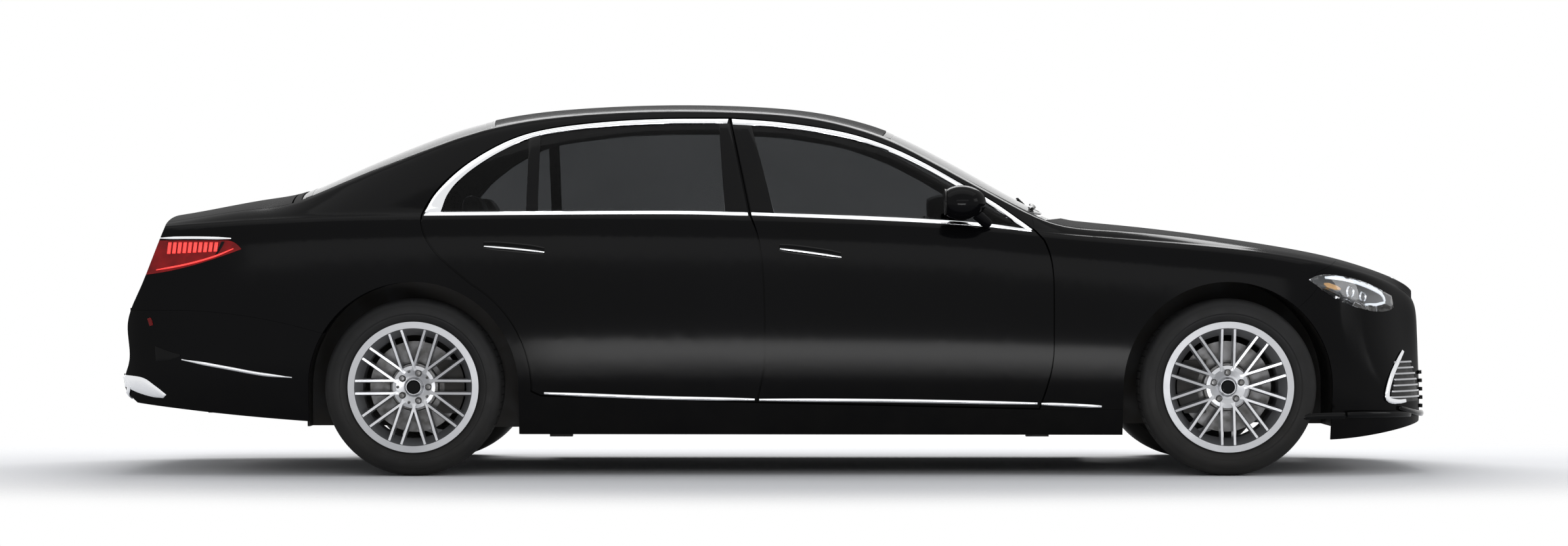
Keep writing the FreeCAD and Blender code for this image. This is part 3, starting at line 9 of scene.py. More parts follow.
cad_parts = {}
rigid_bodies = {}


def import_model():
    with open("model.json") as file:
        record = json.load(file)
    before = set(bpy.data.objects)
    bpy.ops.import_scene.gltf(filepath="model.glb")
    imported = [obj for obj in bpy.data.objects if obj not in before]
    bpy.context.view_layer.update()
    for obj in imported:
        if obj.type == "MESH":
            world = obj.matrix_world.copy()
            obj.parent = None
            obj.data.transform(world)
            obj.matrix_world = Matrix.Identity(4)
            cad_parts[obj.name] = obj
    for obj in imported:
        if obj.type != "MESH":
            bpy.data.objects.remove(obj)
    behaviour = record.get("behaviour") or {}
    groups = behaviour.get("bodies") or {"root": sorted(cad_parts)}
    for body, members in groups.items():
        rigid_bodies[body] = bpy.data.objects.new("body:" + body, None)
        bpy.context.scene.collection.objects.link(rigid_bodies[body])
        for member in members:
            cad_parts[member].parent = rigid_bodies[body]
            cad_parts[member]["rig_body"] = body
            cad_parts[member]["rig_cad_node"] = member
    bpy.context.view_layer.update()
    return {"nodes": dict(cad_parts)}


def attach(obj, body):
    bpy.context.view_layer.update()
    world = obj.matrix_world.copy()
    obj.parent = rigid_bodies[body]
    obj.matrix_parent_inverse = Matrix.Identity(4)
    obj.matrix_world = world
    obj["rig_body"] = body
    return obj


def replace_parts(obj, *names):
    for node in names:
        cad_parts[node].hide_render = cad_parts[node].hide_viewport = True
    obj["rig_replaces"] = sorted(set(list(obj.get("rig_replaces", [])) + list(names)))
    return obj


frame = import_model()
NODES = frame["nodes"]
MM = 0.001
RIGHT, LEFT = -1, 1
SIDE_NAMES = {RIGHT: "right", LEFT: "left"}

# Camera, world, floor and lamps
CAMERA_PLACE, LENS, SENSOR = (0.034, -16.66, 0.80), 91.5, 36
WHITE, FILL_COLOUR, WORLD_FILL = (1, 1, 1, 1), (0.93, 0.96, 1, 1), 0.42
FLOOR_REACH, FLOOR_COLOUR, FLOOR_SQUEEZE = 7.5, (0.86, 0.86, 0.87, 1), (0.85, 1.5, 1)
FADE_FROM, FADE_TO = 2.2, 5.2
SOFTBOXES = [  # name, place, where it looks, size, power
    ("top_box", (0.0, 0.0, 5.2), (0, 0, 0.6), (9, 3.0), 75),
    ("back_box", (0.0, 7.5, 5.0), (0, 0.0, 0.4), (7, 2.5), 700),
    ("side_box", (0.5, -9.0, 3.6), (0, 0, 0.7), (11, 2.2), 110),
    ("low_box", (0.35, -4.5, -0.45), (0.35, 0, 0.45), (3.0, 1.0), 110),
    ("front_box", (8.0, -2.5, 3.2), (1.5, 0, 0.6), (3, 3), 90),
    ("rear_box", (-8.0, 3.0, 3.0), (-1.5, 0, 0.6), (3, 3), 80),
]


def added(tree, kind, values=(), **settings):
    """A new shader node with its settings, and its inputs' values by name or number."""
    node = tree.nodes.new("ShaderNode" + kind)
    for key, value in settings.items():
        setattr(node, key, value)
    for key, value in dict(values).items():
        node.inputs[key].default_value = value
    return node


def linked(tree, *links):
    """Links nodes, each link given as a node and its output, then a node and its input."""
    for source, output, target, into in links:
        tree.links.new(source.outputs[output], target.inputs[into])


def set_camera():
    """A level camera on the car's right, at the photograph's distance."""
    scene = bpy.context.scene
    scene.view_settings.view_transform = "Standard"
    data = bpy.data.cameras.new("camera")
    data.lens, data.sensor_width = LENS, SENSOR
    data.clip_start, data.clip_end = 0.1, 200
    camera = bpy.data.objects.new("camera", data)
    scene.collection.objects.link(camera)
    camera.location = CAMERA_PLACE
    camera.rotation_euler = (math.radians(90), 0, 0)
    scene.camera = camera


def softbox(name, place, target, size, power):
    """An area lamp that the camera doesn't see."""
    data = bpy.data.lights.new(name, "AREA")
    data.shape, data.size, data.size_y, data.energy = "RECTANGLE", size[0], size[1], power
    lamp = bpy.data.objects.new(name, data)
    bpy.context.scene.collection.objects.link(lamp)
    lamp.location = place
    lamp.rotation_euler = (Vector(target) - Vector(place)).to_track_quat("-Z", "Y").to_euler()
    lamp.visible_camera = False


def set_world():
    """White where the camera, a reflection or glass sees it, and a plain even fill elsewhere."""
    world = bpy.data.worlds.new("studio")
    bpy.context.scene.world = world
    world.use_nodes = True
    tree = world.node_tree
    tree.nodes.clear()
    paths, mix, out = added(tree, "LightPath"), added(tree, "MixShader"), added(tree, "OutputWorld")
    seen, seen_in_glass = (added(tree, "Math", operation="MAXIMUM") for _ in range(2))
    fill = added(tree, "Background", {"Color": FILL_COLOUR, "Strength": WORLD_FILL})
    white = added(tree, "Background", {"Color": WHITE, "Strength": 1.0})
    linked(tree, (paths, "Is Camera Ray", seen, 0), (paths, "Is Glossy Ray", seen, 1), (seen, 0, seen_in_glass, 0),
           (paths, "Is Transmission Ray", seen_in_glass, 1), (seen_in_glass, 0, mix, 0), (fill, 0, mix, 1),
           (white, 0, mix, 2), (mix, 0, out, "Surface"))


def set_floor():
    """A pale floor that fades into the white behind it."""
    bpy.ops.mesh.primitive_circle_add(vertices=96, radius=FLOOR_REACH, fill_type="NGON", location=(0, 0, 0))
    floor = bpy.context.object
    floor.name = "floor"
    material = bpy.data.materials.new("pale_floor")
    material.use_nodes = True
    tree = material.node_tree
    tree.nodes.clear()
    place, mix, out = added(tree, "TexCoord"), added(tree, "MixShader"), added(tree, "OutputMaterial")
    squeeze = added(tree, "Mapping", {"Scale": FLOOR_SQUEEZE})
    reach = added(tree, "VectorMath", operation="LENGTH")
    fade = added(tree, "MapRange", {"From Min": FADE_FROM, "From Max": FADE_TO}, interpolation_type="SMOOTHERSTEP")
    diffuse, clear = added(tree, "BsdfDiffuse", {"Color": FLOOR_COLOUR}), added(tree, "BsdfTransparent")
    linked(tree, (place, "Object", squeeze, "Vector"), (squeeze, 0, reach, 0), (reach, "Value", fade, "Value"),
           (fade, 0, mix, 0), (diffuse, 0, mix, 1), (clear, 0, mix, 2), (mix, 0, out, "Surface"))
    floor.data.materials.append(material)


# Finishes
COLOUR, NUMBER, VECTOR = "NodeSocketColor", "NodeSocketFloat", "NodeSocketVector"


def new_group(name, inputs, outputs):
    """A shader node group with named inputs and outputs, and its tree's nodes to fill in."""
    tree = bpy.data.node_groups.new(name, "ShaderNodeTree")
    for label, kind, value in inputs:
        socket = tree.interface.new_socket(label, in_out="INPUT", socket_type=kind)
        socket.default_value = value
    for label, kind in outputs:
        tree.interface.new_socket(label, in_out="OUTPUT", socket_type=kind)
    return tree, tree.nodes.new("NodeGroupInput"), tree.nodes.new("NodeGroupOutput")


def grain_group():
    """Cloudy change of colour and roughness, with a finer relief on top."""
    tree, given, made = new_group(
        "grain",
        [("Place", VECTOR, (0, 0, 0)), ("Scale", NUMBER, 5.0), ("Relief Scale", NUMBER, 200.0),
         ("Colour", COLOUR, (0.5, 0.5, 0.5, 1)), ("Second Colour", COLOUR, (0.4, 0.4, 0.4, 1)),
         ("Smooth", NUMBER, 0.3), ("Rough", NUMBER, 0.5)],
        [("Colour", COLOUR), ("Roughness", NUMBER), ("Height", NUMBER)],
    )
    clouds, relief = added(tree, "TexNoise", {"Detail": 4}), added(tree, "TexNoise", {"Detail": 3})
    spread, rough = added(tree, "MapRange", {"From Min": 0.35, "From Max": 0.65}), added(tree, "MapRange")
    mix = added(tree, "Mix", data_type="RGBA")
    linked(tree, (given, "Place", clouds, "Vector"), (given, "Place", relief, "Vector"),
           (given, "Scale", clouds, "Scale"), (given, "Relief Scale", relief, "Scale"),
           (clouds, "Fac", spread, "Value"), (spread, 0, mix, "Factor"), (given, "Colour", mix, "A"),
           (given, "Second Colour", mix, "B"), (spread, 0, rough, "Value"), (given, "Smooth", rough, "To Min"),
           (given, "Rough", rough, "To Max"), (mix, "Result", made, "Colour"), (rough, 0, made, "Roughness"),
           (relief, "Fac", made, "Height"))
    return tree


def dust_group():
    """Road dust that thins out with height above the ground."""
    tree, given, made = new_group(
        "road_dust",
        [("Place", VECTOR, (0, 0, 0)), ("Colour", COLOUR, (0.5, 0.5, 0.5, 1)),
         ("Dust", COLOUR, (0.2, 0.18, 0.15, 1)), ("Top", NUMBER, 0.5), ("Amount", NUMBER, 0.3)],
        [("Colour", COLOUR)],
    )
    split, height = added(tree, "SeparateXYZ"), added(tree, "MapRange", {"To Min": 1, "To Max": 0})
    patches = added(tree, "TexNoise", {"Scale": 9, "Detail": 6})
    times, amount = (added(tree, "Math", operation="MULTIPLY") for _ in range(2))
    mix = added(tree, "Mix", data_type="RGBA")
    linked(tree, (given, "Place", split, 0), (given, "Place", patches, "Vector"), (split, "Z", height, "Value"),
           (given, "Top", height, "From Max"), (height, 0, times, 0), (patches, "Fac", times, 1),
           (times, 0, amount, 0), (given, "Amount", amount, 1), (amount, 0, mix, "Factor"),
           (given, "Colour", mix, "A"), (given, "Dust", mix, "B"), (mix, "Result", made, "Colour"))
    return tree


def pebble_group():
    """Pebbled leather: cells with creases between them."""
    tree, given, made = new_group(
        "pebble", [("Place", VECTOR, (0, 0, 0)), ("Scale", NUMBER, 260.0)], [("Height", NUMBER)])
    cells = added(tree, "TexVoronoi", feature="DISTANCE_TO_EDGE")
    crease = added(tree, "MapRange", {"From Max": 0.25})
    linked(tree, (given, "Place", cells, "Vector"), (given, "Scale", cells, "Scale"),
           (cells, "Distance", crease, "Value"), (crease, 0, made, "Height"))
    return tree


GRAIN, DUST, PEBBLE = grain_group(), dust_group(), pebble_group()


def finish_of(name, colour, second, smooth, rough, scale, relief, bump, depth=0.0004, dust=0.0, pebble=0.0, **fixed):
    """A finish with cloudy colour and roughness, a fine relief, and dust or pebbling where asked."""
    material = bpy.data.materials.new(name)
    material.use_nodes = True
    tree = material.node_tree
    shader, place = tree.nodes["Principled BSDF"], added(tree, "TexCoord")
    grain = added(tree, "Group", node_tree=GRAIN, values={
        "Scale": scale, "Relief Scale": relief, "Colour": (*colour, 1), "Second Colour": (*second, 1),
        "Smooth": smooth, "Rough": rough})
    linked(tree, (place, "Object", grain, "Place"), (grain, "Roughness", shader, "Roughness"))
    coloured = raised = grain
    if dust:
        coloured = added(tree, "Group", {"Amount": dust}, node_tree=DUST)
        linked(tree, (place, "Object", coloured, "Place"), (grain, "Colour", coloured, "Colour"))
    if pebble:
        raised = added(tree, "Group", {"Scale": pebble}, node_tree=PEBBLE)
        linked(tree, (place, "Object", raised, "Place"))
    linked(tree, (coloured, "Colour", shader, "Base Color"))
    if bump:
        bumps = added(tree, "Bump", {"Strength": bump, "Distance": depth})
        linked(tree, (raised, "Height", bumps, "Height"), (bumps, 0, shader, "Normal"))
    for socket, value in fixed.items():
        shader.inputs[socket.replace("_", " ")].default_value = value
    return material


PAINT = finish_of("black_paint", (0.0022, 0.0022, 0.0026), (0.0018, 0.0018, 0.002), 0.3, 0.36, 1.5, 900, 0.02,
                  0.0001, dust=0.03, Coat_Weight=0.13, Coat_Roughness=0.13, Specular_IOR_Level=0.0)
GLASS = finish_of("tinted_glass", (0.19, 0.195, 0.2), (0.17, 0.175, 0.18), 0.0, 0.01, 2, 30, 0.0,
                  Transmission_Weight=1.0, IOR=1.16)
CHROME = finish_of("bright_chrome", (0.82, 0.83, 0.85), (0.76, 0.77, 0.79), 0.06, 0.12, 6, 400, 0.02, Metallic=1.0)
ALLOY = finish_of("silver_alloy", (0.40, 0.405, 0.42), (0.35, 0.355, 0.37), 0.3, 0.4, 8, 700, 0.05, Metallic=0.85,
                  Coat_Weight=0.3, Coat_Roughness=0.1)
RUBBER = finish_of("tyre_rubber", (0.009, 0.009, 0.0095), (0.013, 0.013, 0.013), 0.62, 0.8, 14, 500, 0.25, 0.0006,
                   dust=0.08, Specular_IOR_Level=0.2)
DISC = finish_of("brake_disc_iron", (0.16, 0.16, 0.165), (0.1, 0.098, 0.095), 0.3, 0.5, 30, 300, 0.1, Metallic=1.0)
STEEL = finish_of("dark_steel", (0.02, 0.02, 0.021), (0.03, 0.028, 0.026), 0.5, 0.7, 12, 150, 0.2, 0.0008,
                  dust=0.12, Metallic=0.5, Specular_IOR_Level=0.2)
PLASTIC = finish_of("black_plastic", (0.006, 0.006, 0.006), (0.009, 0.009, 0.009), 0.42, 0.58, 20, 600, 0.25, 0.0005,
                    Specular_IOR_Level=0.2)
GLOSS_BLACK = finish_of("gloss_black_trim", (0.003, 0.003, 0.0035), (0.004, 0.004, 0.004), 0.05, 0.09, 4, 300, 0.02,
                        Specular_IOR_Level=0.1)
LEATHER = finish_of("seat_leather", (0.05, 0.047, 0.044), (0.038, 0.036, 0.034), 0.38, 0.5, 9, 300, 0.35, 0.0006,
                    pebble=330)
WHEEL_LEATHER = finish_of("wheel_leather", (0.02, 0.02, 0.02), (0.03, 0.03, 0.03), 0.35, 0.5, 12, 300, 0.3, 0.0004,
                          pebble=420)
LAMP_GLASS = finish_of("lamp_glass", (0.93, 0.95, 0.97), (0.9, 0.92, 0.95), 0.0, 0.02, 2, 40, 0.0,
                       Transmission_Weight=1.0, IOR=1.4)
RED_GLASS = finish_of("red_lamp_glass", (0.62, 0.012, 0.015), (0.5, 0.008, 0.01), 0.02, 0.06, 4, 90, 0.0,
                      Transmission_Weight=0.75, IOR=1.25)
RED_LENS = finish_of("red_lamp_lens", (0.30, 0.004, 0.006), (0.16, 0.002, 0.003), 0.1, 0.16, 14, 160, 0.15, 0.0008,
                     Coat_Weight=0.15, Coat_Roughness=0.05, Specular_IOR_Level=0.1)

LAMP_BOWL = finish_of("lamp_bowl", (0.02, 0.021, 0.024), (0.035, 0.036, 0.04), 0.35, 0.5, 12, 300, 0.05)
LIGHT_GUIDE = finish_of("light_guide", (0.86, 0.88, 0.9), (0.8, 0.82, 0.85), 0.12, 0.2, 10, 200, 0.1,
                        Emission_Color=(0.9, 0.95, 1, 1), Emission_Strength=0.35)
RED_GUIDE = finish_of("red_light_guide", (0.85, 0.02, 0.02), (0.6, 0.01, 0.01), 0.15, 0.25, 30, 200, 0.1,
                      Emission_Color=(1, 0.06, 0.05, 1), Emission_Strength=1.1)
AMBER = finish_of("amber_reflector", (0.75, 0.4, 0.12), (0.6, 0.3, 0.08), 0.15, 0.3, 30, 200, 0.1)

NODE_FINISHES = {
    **dict.fromkeys(("glass", "windscreen", "rear_window"), GLASS),
    **dict.fromkeys(("tail_lamps", "lid_lamps"), RED_LENS),
    **dict.fromkeys(("floor_pan", "tunnel", "seat_mounts", "front_structure", "boot_floor", "rear_bulkhead",
                     "rear_wheelhouses", "engine", "front_axle", "rear_axle", "exhaust", "knuckle"), STEEL),
    **dict.fromkeys(("scuttle", "undertray", "dashboard"), PLASTIC),
    **dict.fromkeys(("front_seats", "rear_seats"), LEATHER),
    "grille": GLOSS_BLACK, "headlamps": LAMP_GLASS, "tyre": RUBBER, "rim": ALLOY, "brake_disc": DISC,
    "steering_wheel": WHEEL_LEATHER,
}

# Looks of the pieces made here: a finish and its slot
BRIGHT, GLOSSY, MATT = (CHROME, "chrome_trim"), (GLOSS_BLACK, "black_plastic"), (PLASTIC, "black_plastic")
PADDED, GLOWING_RED = (LEATHER, "seat_leather"), (RED_GUIDE, "red_lamp")
CLEAR, GLOWING = (LAMP_GLASS, "clear_lamp"), (LIGHT_GUIDE, "clear_lamp")


def finish_nodes():
    """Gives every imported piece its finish, by the start of its name, and paint where none is named."""
    for name, piece in NODES.items():
        found = [k for k in NODE_FINISHES if name.startswith(k)]
        material = NODE_FINISHES[max(found, key=len)] if found else PAINT
        if not piece.material_slots:
            piece.data.materials.append(material)
        for slot in piece.material_slots:
            slot.material = material


# Runs of places in millimetres, and pieces' edges
KNOT_STEPS = 12
NARROWING = 0.18


def flipped(points, side):
    """Places across the car, for one side of it."""
    return [(side * y, z) for y, z in points]


def level(z, *places):
    """Places at one height."""
    return [(place, z) for place in places]


def mirrored(half, axis=0):
    """A run given up to the middle line, with its other half added; axis is the place of y in a point."""
    return half + [(-a, b) if axis == 0 else (a, -b) for a, b in half[-2::-1]]


def arc(middle, reach, steps=20, turn=math.tau):
    """Places on an ellipse round its middle."""
    angles = [turn * k / steps for k in range(steps + 1)]
    return [(middle[0] + reach[0] * math.cos(a), middle[1] + reach[1] * math.sin(a)) for a in angles]


def smooth_run(points, count):
    """Evenly spaced points, in metres, on a smooth line through points given in millimetres."""
    knots = [Vector((p[0], p[1])) * MM for p in points]
    dense = []
    for i in range(len(knots) - 1):
        a, b = knots[i], knots[i + 1]
        before = knots[i - 1] if i else a * 2 - b
        after = knots[i + 2] if i + 2 < len(knots) else b * 2 - a
        for k in range(KNOT_STEPS):
            t = k / KNOT_STEPS
            dense.append(0.5 * (2 * a + (b - before) * t + (2 * before - 5 * a + 4 * b - after) * t ** 2
                                + (3 * a - before - 3 * b + after) * t ** 3))
    dense.append(knots[-1])
    lengths = [0.0]
    for a, b in zip(dense, dense[1:]):
        lengths.append(lengths[-1] + (b - a).length)
    made, k = [], 0
    for i in range(count):
        goal = lengths[-1] * i / (count - 1)
        while k < len(lengths) - 2 and lengths[k + 1] < goal:
            k += 1
        share = (goal - lengths[k]) / max(lengths[k + 1] - lengths[k], 1e-9)
        made.append(dense[k].lerp(dense[k + 1], min(max(share, 0), 1)))
    return made


def widened(points, width, tips=1.0):
    """The two edges of a strip of one width, in millimetres, along a line; tips narrows its ends."""
    count = max(8, len(points) * 4)
    run = [p / MM for p in smooth_run(points, count)]
    first, second = [], []
    for i, p in enumerate(run):
        way = (run[min(i + 1, count - 1)] - run[max(i - 1, 0)]).normalized()
        across = Vector((-way.y, way.x))
        near_end = min(i, count - 1 - i) / (count * NARROWING)
        half = width / 2 * (tips + (1 - tips) * min(1, near_end))
        first.append(p + across * half)
        second.append(p - across * half)
    return first, second


# Working on meshes
def none_selected():
    bpy.ops.object.select_all(action="DESELECT")


def alone(piece):
    """Selects one piece and makes it the active one."""
    none_selected()
    piece.select_set(True)
    bpy.context.view_layer.objects.active = piece


def edit(select=None):
    """Edit mode on the active piece, with all of it selected or none if asked."""
    bpy.ops.object.mode_set(mode="EDIT")
    if select:
        bpy.ops.mesh.select_all(action=select)


def edited():
    """Back to object mode."""
    bpy.ops.object.mode_set(mode="OBJECT")


def applied(piece, kind, **settings):
    """Adds a modifier, sets it and applies it."""
    bpy.context.view_layer.objects.active = piece
    modifier = piece.modifiers.new(kind.lower(), kind)
    for key, value in settings.items():
        setattr(modifier, key, value)
    bpy.ops.object.modifier_apply(modifier=modifier.name)


def bevelled(piece, width, angle, segments=2):
    """Rounds the edges sharper than an angle; width in millimetres."""
    applied(piece, "BEVEL", width=width * MM, segments=segments, limit_method="ANGLE", angle_limit=math.radians(angle))


def outwards(piece):
    """Merges doubles and turns all faces outwards."""
    alone(piece)
    edit("SELECT")
    bpy.ops.mesh.remove_doubles(threshold=0.00002)
    bpy.ops.mesh.normals_make_consistent(inside=False)
    edited()


def finished(piece, name, body, look, angle=35):
    """Names a piece, gives it its finish and lets it ride on its body."""
    material, slot = look
    piece.name = piece.data.name = name
    piece.data.materials.clear()
    piece.data.materials.append(material)
    alone(piece)
    bpy.ops.object.shade_smooth_by_angle(angle=math.radians(angle))
    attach(piece, body)
    return piece


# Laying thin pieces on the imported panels
SKINS = {}
RAYS = {
    "side": lambda a, b, side: (Vector((a, side * 1.3, b)), Vector((0, -side, 0))),
    "front": lambda a, b, side: (Vector((3.2, a, b)), Vector((-1, 0, 0))),
    "rear": lambda a, b, side: (Vector((-3.2, a, b)), Vector((1, 0, 0))),
    "top": lambda a, b, side: (Vector((a, b, 2.2)), Vector((0, 0, -1))),
    "under": lambda a, b, side: (Vector((a, b, 0.9)), Vector((0, 0, 1))),
    "inner": lambda a, b, side: (Vector((a, side * 0.2, b)), Vector((0, side, 0))),
    "inside": lambda a, b, side: (Vector((0.2, a, b)), Vector((1, 0, 0))),
}
NEARBY = [(reach * MM, math.tau * k / 8) for reach in (3, 6, 10, 16, 25, 40) for k in (6, 2, 0, 4, 5, 7, 1, 3)]
JUMP, NEARBY_JUMP = 0.12, 0.15


def skin_of(name):
    """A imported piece's surface to cast rays at, made once."""
    if name not in SKINS:
        mesh = NODES[name].data
        SKINS[name] = BVHTree.FromPolygons([v.co for v in mesh.vertices], [tuple(f.vertices) for f in mesh.polygons])
    return SKINS[name]


def on_skin(a, b, view, side, node, last=None):
    """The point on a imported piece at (a, b) of a view, kept near the last one, and the way out to the viewer."""
    if view == "nose":
        return Vector((nose_reach(a, b), a, b)), Vector((1, 0, 0))
    start, ray = RAYS[view](a, b, side)
    skin = skin_of(node)
    hit = skin.ray_cast(start, ray)[0]
    if hit is not None and (last is None or (hit - last).length <= JUMP):
        return hit, -ray
    for reach, turn in NEARBY:
        aside = RAYS[view](a + reach * math.cos(turn), b + reach * math.sin(turn), side)[0]
        found = skin.ray_cast(aside, ray)[0]
        if found is not None and (last is None or (found - last).length < NEARBY_JUMP):
            return start + ray * (found - aside).dot(ray), -ray
    known = last if last is not None else skin.find_nearest(start)[0]
    return start + ray * (known - start).dot(ray), -ray


# Where pieces lie: the body they ride on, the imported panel, and the view they are given in, the side if none
NOSE, NOSE_FRONT = ("body", None, "nose"), ("body", "front_bumper", "front")
TAIL_SIDE, TAIL_REAR, LID = ("body", "rear_bumper"), ("body", "rear_bumper", "rear"), ("boot_lid", "boot_lid", "rear")
HEADLAMPS, TAIL_LAMPS, DASH = ("body", "headlamps"), ("body", "tail_lamps"), ("body", "dashboard", "inside")
SCREEN_TOP, SCREEN_UNDER = ("body", "windscreen", "top"), ("body", "windscreen", "under")


def laid(name, where, look, first, second, side=RIGHT, depth=3.0, lift=1.5, rows=4, crown=0.0, step=18.0, bevel=0.8):
    """A thin piece between two edges, laid on a packed panel; sizes in millimetres, crown raises its middle."""
    body, node, view = (*where, "side")[:3]
    length = sum((Vector(b) - Vector(a)).length for a, b in zip(first, first[1:]))
    count = max(4, int(length / step) + 1)
    edges = smooth_run(first, count), smooth_run(second, count)
    none_selected()
    bpy.ops.mesh.primitive_grid_add(x_subdivisions=count - 1, y_subdivisions=rows, size=1)
    piece = bpy.context.object
    last = None
    for vertex in sorted(piece.data.vertices, key=lambda v: (round(v.co.x, 5), v.co.y)):
        column = round((vertex.co.x + 0.5) * (count - 1))
        share = vertex.co.y + 0.5
        place = edges[0][column].lerp(edges[1][column], share)
        raised = (lift + crown * (1 - (2 * share - 1) ** 2)) * MM
        last, out = on_skin(place.x, place.y, view, side, node, last)
        vertex.co = last + out * raised
    applied(piece, "SOLIDIFY", thickness=depth * MM, offset=0)
    outwards(piece)
    if bevel:
        bevelled(piece, bevel, 50)
    return finished(piece, name, body, look)


set_camera()
set_world()
set_floor()
for box in SOFTBOXES:
    softbox(*box)
none_selected()
finish_nodes()

# Window surrounds, strips and handles on the doors
DOOR_TOP_FRONT = [(-176, 1419), (12, 1405), (200, 1378), (334, 1348), (468, 1300), (600, 1236), (732, 1160),
                  (863, 1084), (967, 1010), (1018, 972)]
GLASS_TOP_FRONT = [(-172, 1396), (12, 1386), (200, 1359), (334, 1329), (468, 1281), (600, 1217), (732, 1141),
                   (850, 1071), (950, 1000), (1004, 966)]
DOOR_TOP_REAR = [(-1388, 1040), (-1349, 1114), (-1268, 1202), (-1171, 1274), (-1051, 1337), (-916, 1376),
                 (-711, 1403), (-479, 1417), (-190, 1419)]
GLASS_TOP_REAR = [(-1326, 1040), (-1300, 1118), (-1240, 1190), (-1148, 1259), (-1045, 1315), (-940, 1353),
                  (-711, 1385), (-479, 1399), (-194, 1401)]
WINDOW_PIECES = [
    ("surround_top_front", BRIGHT, DOOR_TOP_FRONT, GLASS_TOP_FRONT),
    ("surround_top_rear", BRIGHT, DOOR_TOP_REAR, GLASS_TOP_REAR),
    ("surround_belt_front", BRIGHT, [(-94, 1027), (400, 1008), (795, 986), (1014, 962)],
     [(-96, 1040), (400, 1023), (795, 1000), (1012, 972)]),
    ("surround_belt_rear", BRIGHT, [(-1390, 1026), (-478, 1032), (-108, 1026)],
     [(-1384, 1041), (-478, 1046), (-110, 1040)]),
    ("pillar_panel_front", GLOSSY, [(-174, 1396), (-134, 1220), (-96, 1043)], [(-98, 1394), (-52, 1220), (-6, 1040)]),
    ("pillar_panel_rear", GLOSSY, [(-228, 1400), (-214, 1220), (-200, 1045)],
     [(-186, 1400), (-148, 1220), (-110, 1042)]),
    ("quarter_bar", GLOSSY, [(-988, 1340), (-988, 1046)], [(-942, 1354), (-942, 1046)]),
]


def dress_door_windows(side):
    """Bright surround, middle-pillar panels and the bar before the quarter window, on one side's doors."""
    for name, look, first, second in WINDOW_PIECES:
        door = "door_%s_%s" % ("front" if name.endswith("front") else "rear", SIDE_NAMES[side])
        shape = {"crown": 1.5} if look is BRIGHT else {"lift": 1.0}
        laid("%s_%s" % (name, SIDE_NAMES[side]), (door, door), look, first, second, side=side, **shape)


def dress_door_sides(side):
    """Handles let into the doors with a bright line, and the bright strip along the bottom of the side."""
    tag = SIDE_NAMES[side]
    front, rear, wing = "door_front_" + tag, "door_rear_" + tag, "front_wing_" + tag
    for door, run in ((front, [(16, 901), (137, 886), (258, 868)]), (rear, [(-1150, 911), (-1030, 901), (-912, 888)])):
        place = door.split("_")[1] + "_" + tag
        lower = [(x + 2, z - 6) for x, z in run]
        laid("handle_recess_" + place, (door, door), MATT, *widened(run, 36, 0.75), side=side, lift=0.4, depth=1.6)
        laid("handle_" + place, (door, door), (PAINT, "paint"), *widened(run, 27, 0.7), side=side, lift=2.4, crown=3,
             rows=6, bevel=1.2)
        laid("handle_line_" + place, (door, door), BRIGHT, *widened(lower, 5, 0.4), side=side, lift=5.6, depth=3.5,
             crown=0.8)
    for body, node, run in (
        (front, front, [(-64, 300), (480, 296), (1034, 285)]),
        (rear, rear, [(-912, 326), (-468, 309), (-82, 301)]),
        ("body", wing, [(1050, 284), (1170, 279), (1288, 273)]),
    ):
        laid("sill_strip_" + node, (body, node), BRIGHT, *widened(run, 11, 0.6), side=side, lift=3, crown=2.5, depth=5)


def dress_side_ends(side):
    """The intake's frame, the strips by the tail lamp and on the rear bumper, and the bumper's dark corner."""
    tag = SIDE_NAMES[side]
    laid("intake_frame_" + tag, ("body", "front_bumper"), BRIGHT, *widened([(2524, 486), (2497, 452), (2462, 400),
         (2440, 350), (2432, 310), (2444, 293), (2484, 287), (2520, 290)], 17, 0.6), side=side, lift=5, crown=4,
         depth=8, step=12)
    laid("lamp_strip_" + tag, ("body", "body_side_" + tag), BRIGHT, *widened([(-2440, 938), (-2300, 939), (-2150, 936)],
         8, 0.35), side=side, lift=3, crown=2)
    laid("bumper_strip_" + tag, TAIL_SIDE, BRIGHT, *widened([(-2346, 458), (-2162, 425), (-2029, 401), (-1906, 388)],
         11, 0.25), side=side, lift=3, crown=3)
    laid("corner_recess_" + tag, TAIL_SIDE, GLOSSY, [(-2455, 512), (-2400, 492), (-2352, 478)],
         [(-2452, 452), (-2400, 455), (-2352, 470)], side=side, lift=0.8)
    laid("corner_reflector_" + tag, TAIL_SIDE, (RED_GLASS, "red_lamp"),
         *widened([(-2480, 622), (-2474, 607), (-2470, 592)], 16, 0.8), side=side, lift=1.5, depth=3, step=5)


for side in (RIGHT, LEFT):
    dress_door_windows(side)
    dress_door_sides(side)
    dress_side_ends(side)

# Wheels: tyres with a cut tread, wheel bolts and plain caps
FRONT_AXLE, REAR_AXLE, WHEEL_HEIGHT = 1.788, -1.428, 0.35
WHEEL_PLACES = {
    "front_right": (FRONT_AXLE, -0.83), "front_left": (FRONT_AXLE, 0.83),
    "rear_right": (REAR_AXLE, -0.842), "rear_left": (REAR_AXLE, 0.842),
}
REAR_BOLT_TURN = math.radians(18)
HALF_TYRE = [
    (257.5, -104), (263, -106), (266, -112), (280, -119), (283, -121.5), (287, -121.5), (292, -127), (300, -127.5),
    (318, -124.5), (320, -122.5), (330, -119), (338, -111), (342, -106), (345, -98), (348, -88), (349.5, -80),
    (349.8, -60), (342.5, -58.5), (342.5, -50), (349.9, -48.5),
    (350, -24), (342.5, -22.5), (342.5, -13), (350, -11.5),
]
TYRE_SECTION = HALF_TYRE + [(radius, -along) for radius, along in reversed(HALF_TYRE)] + [(250, 92), (250, -92)]
CAP_SECTION = [(0.05, 88), (14, 88.5), (22, 88), (25.5, 85), (26, 70), (0.05, 66)]
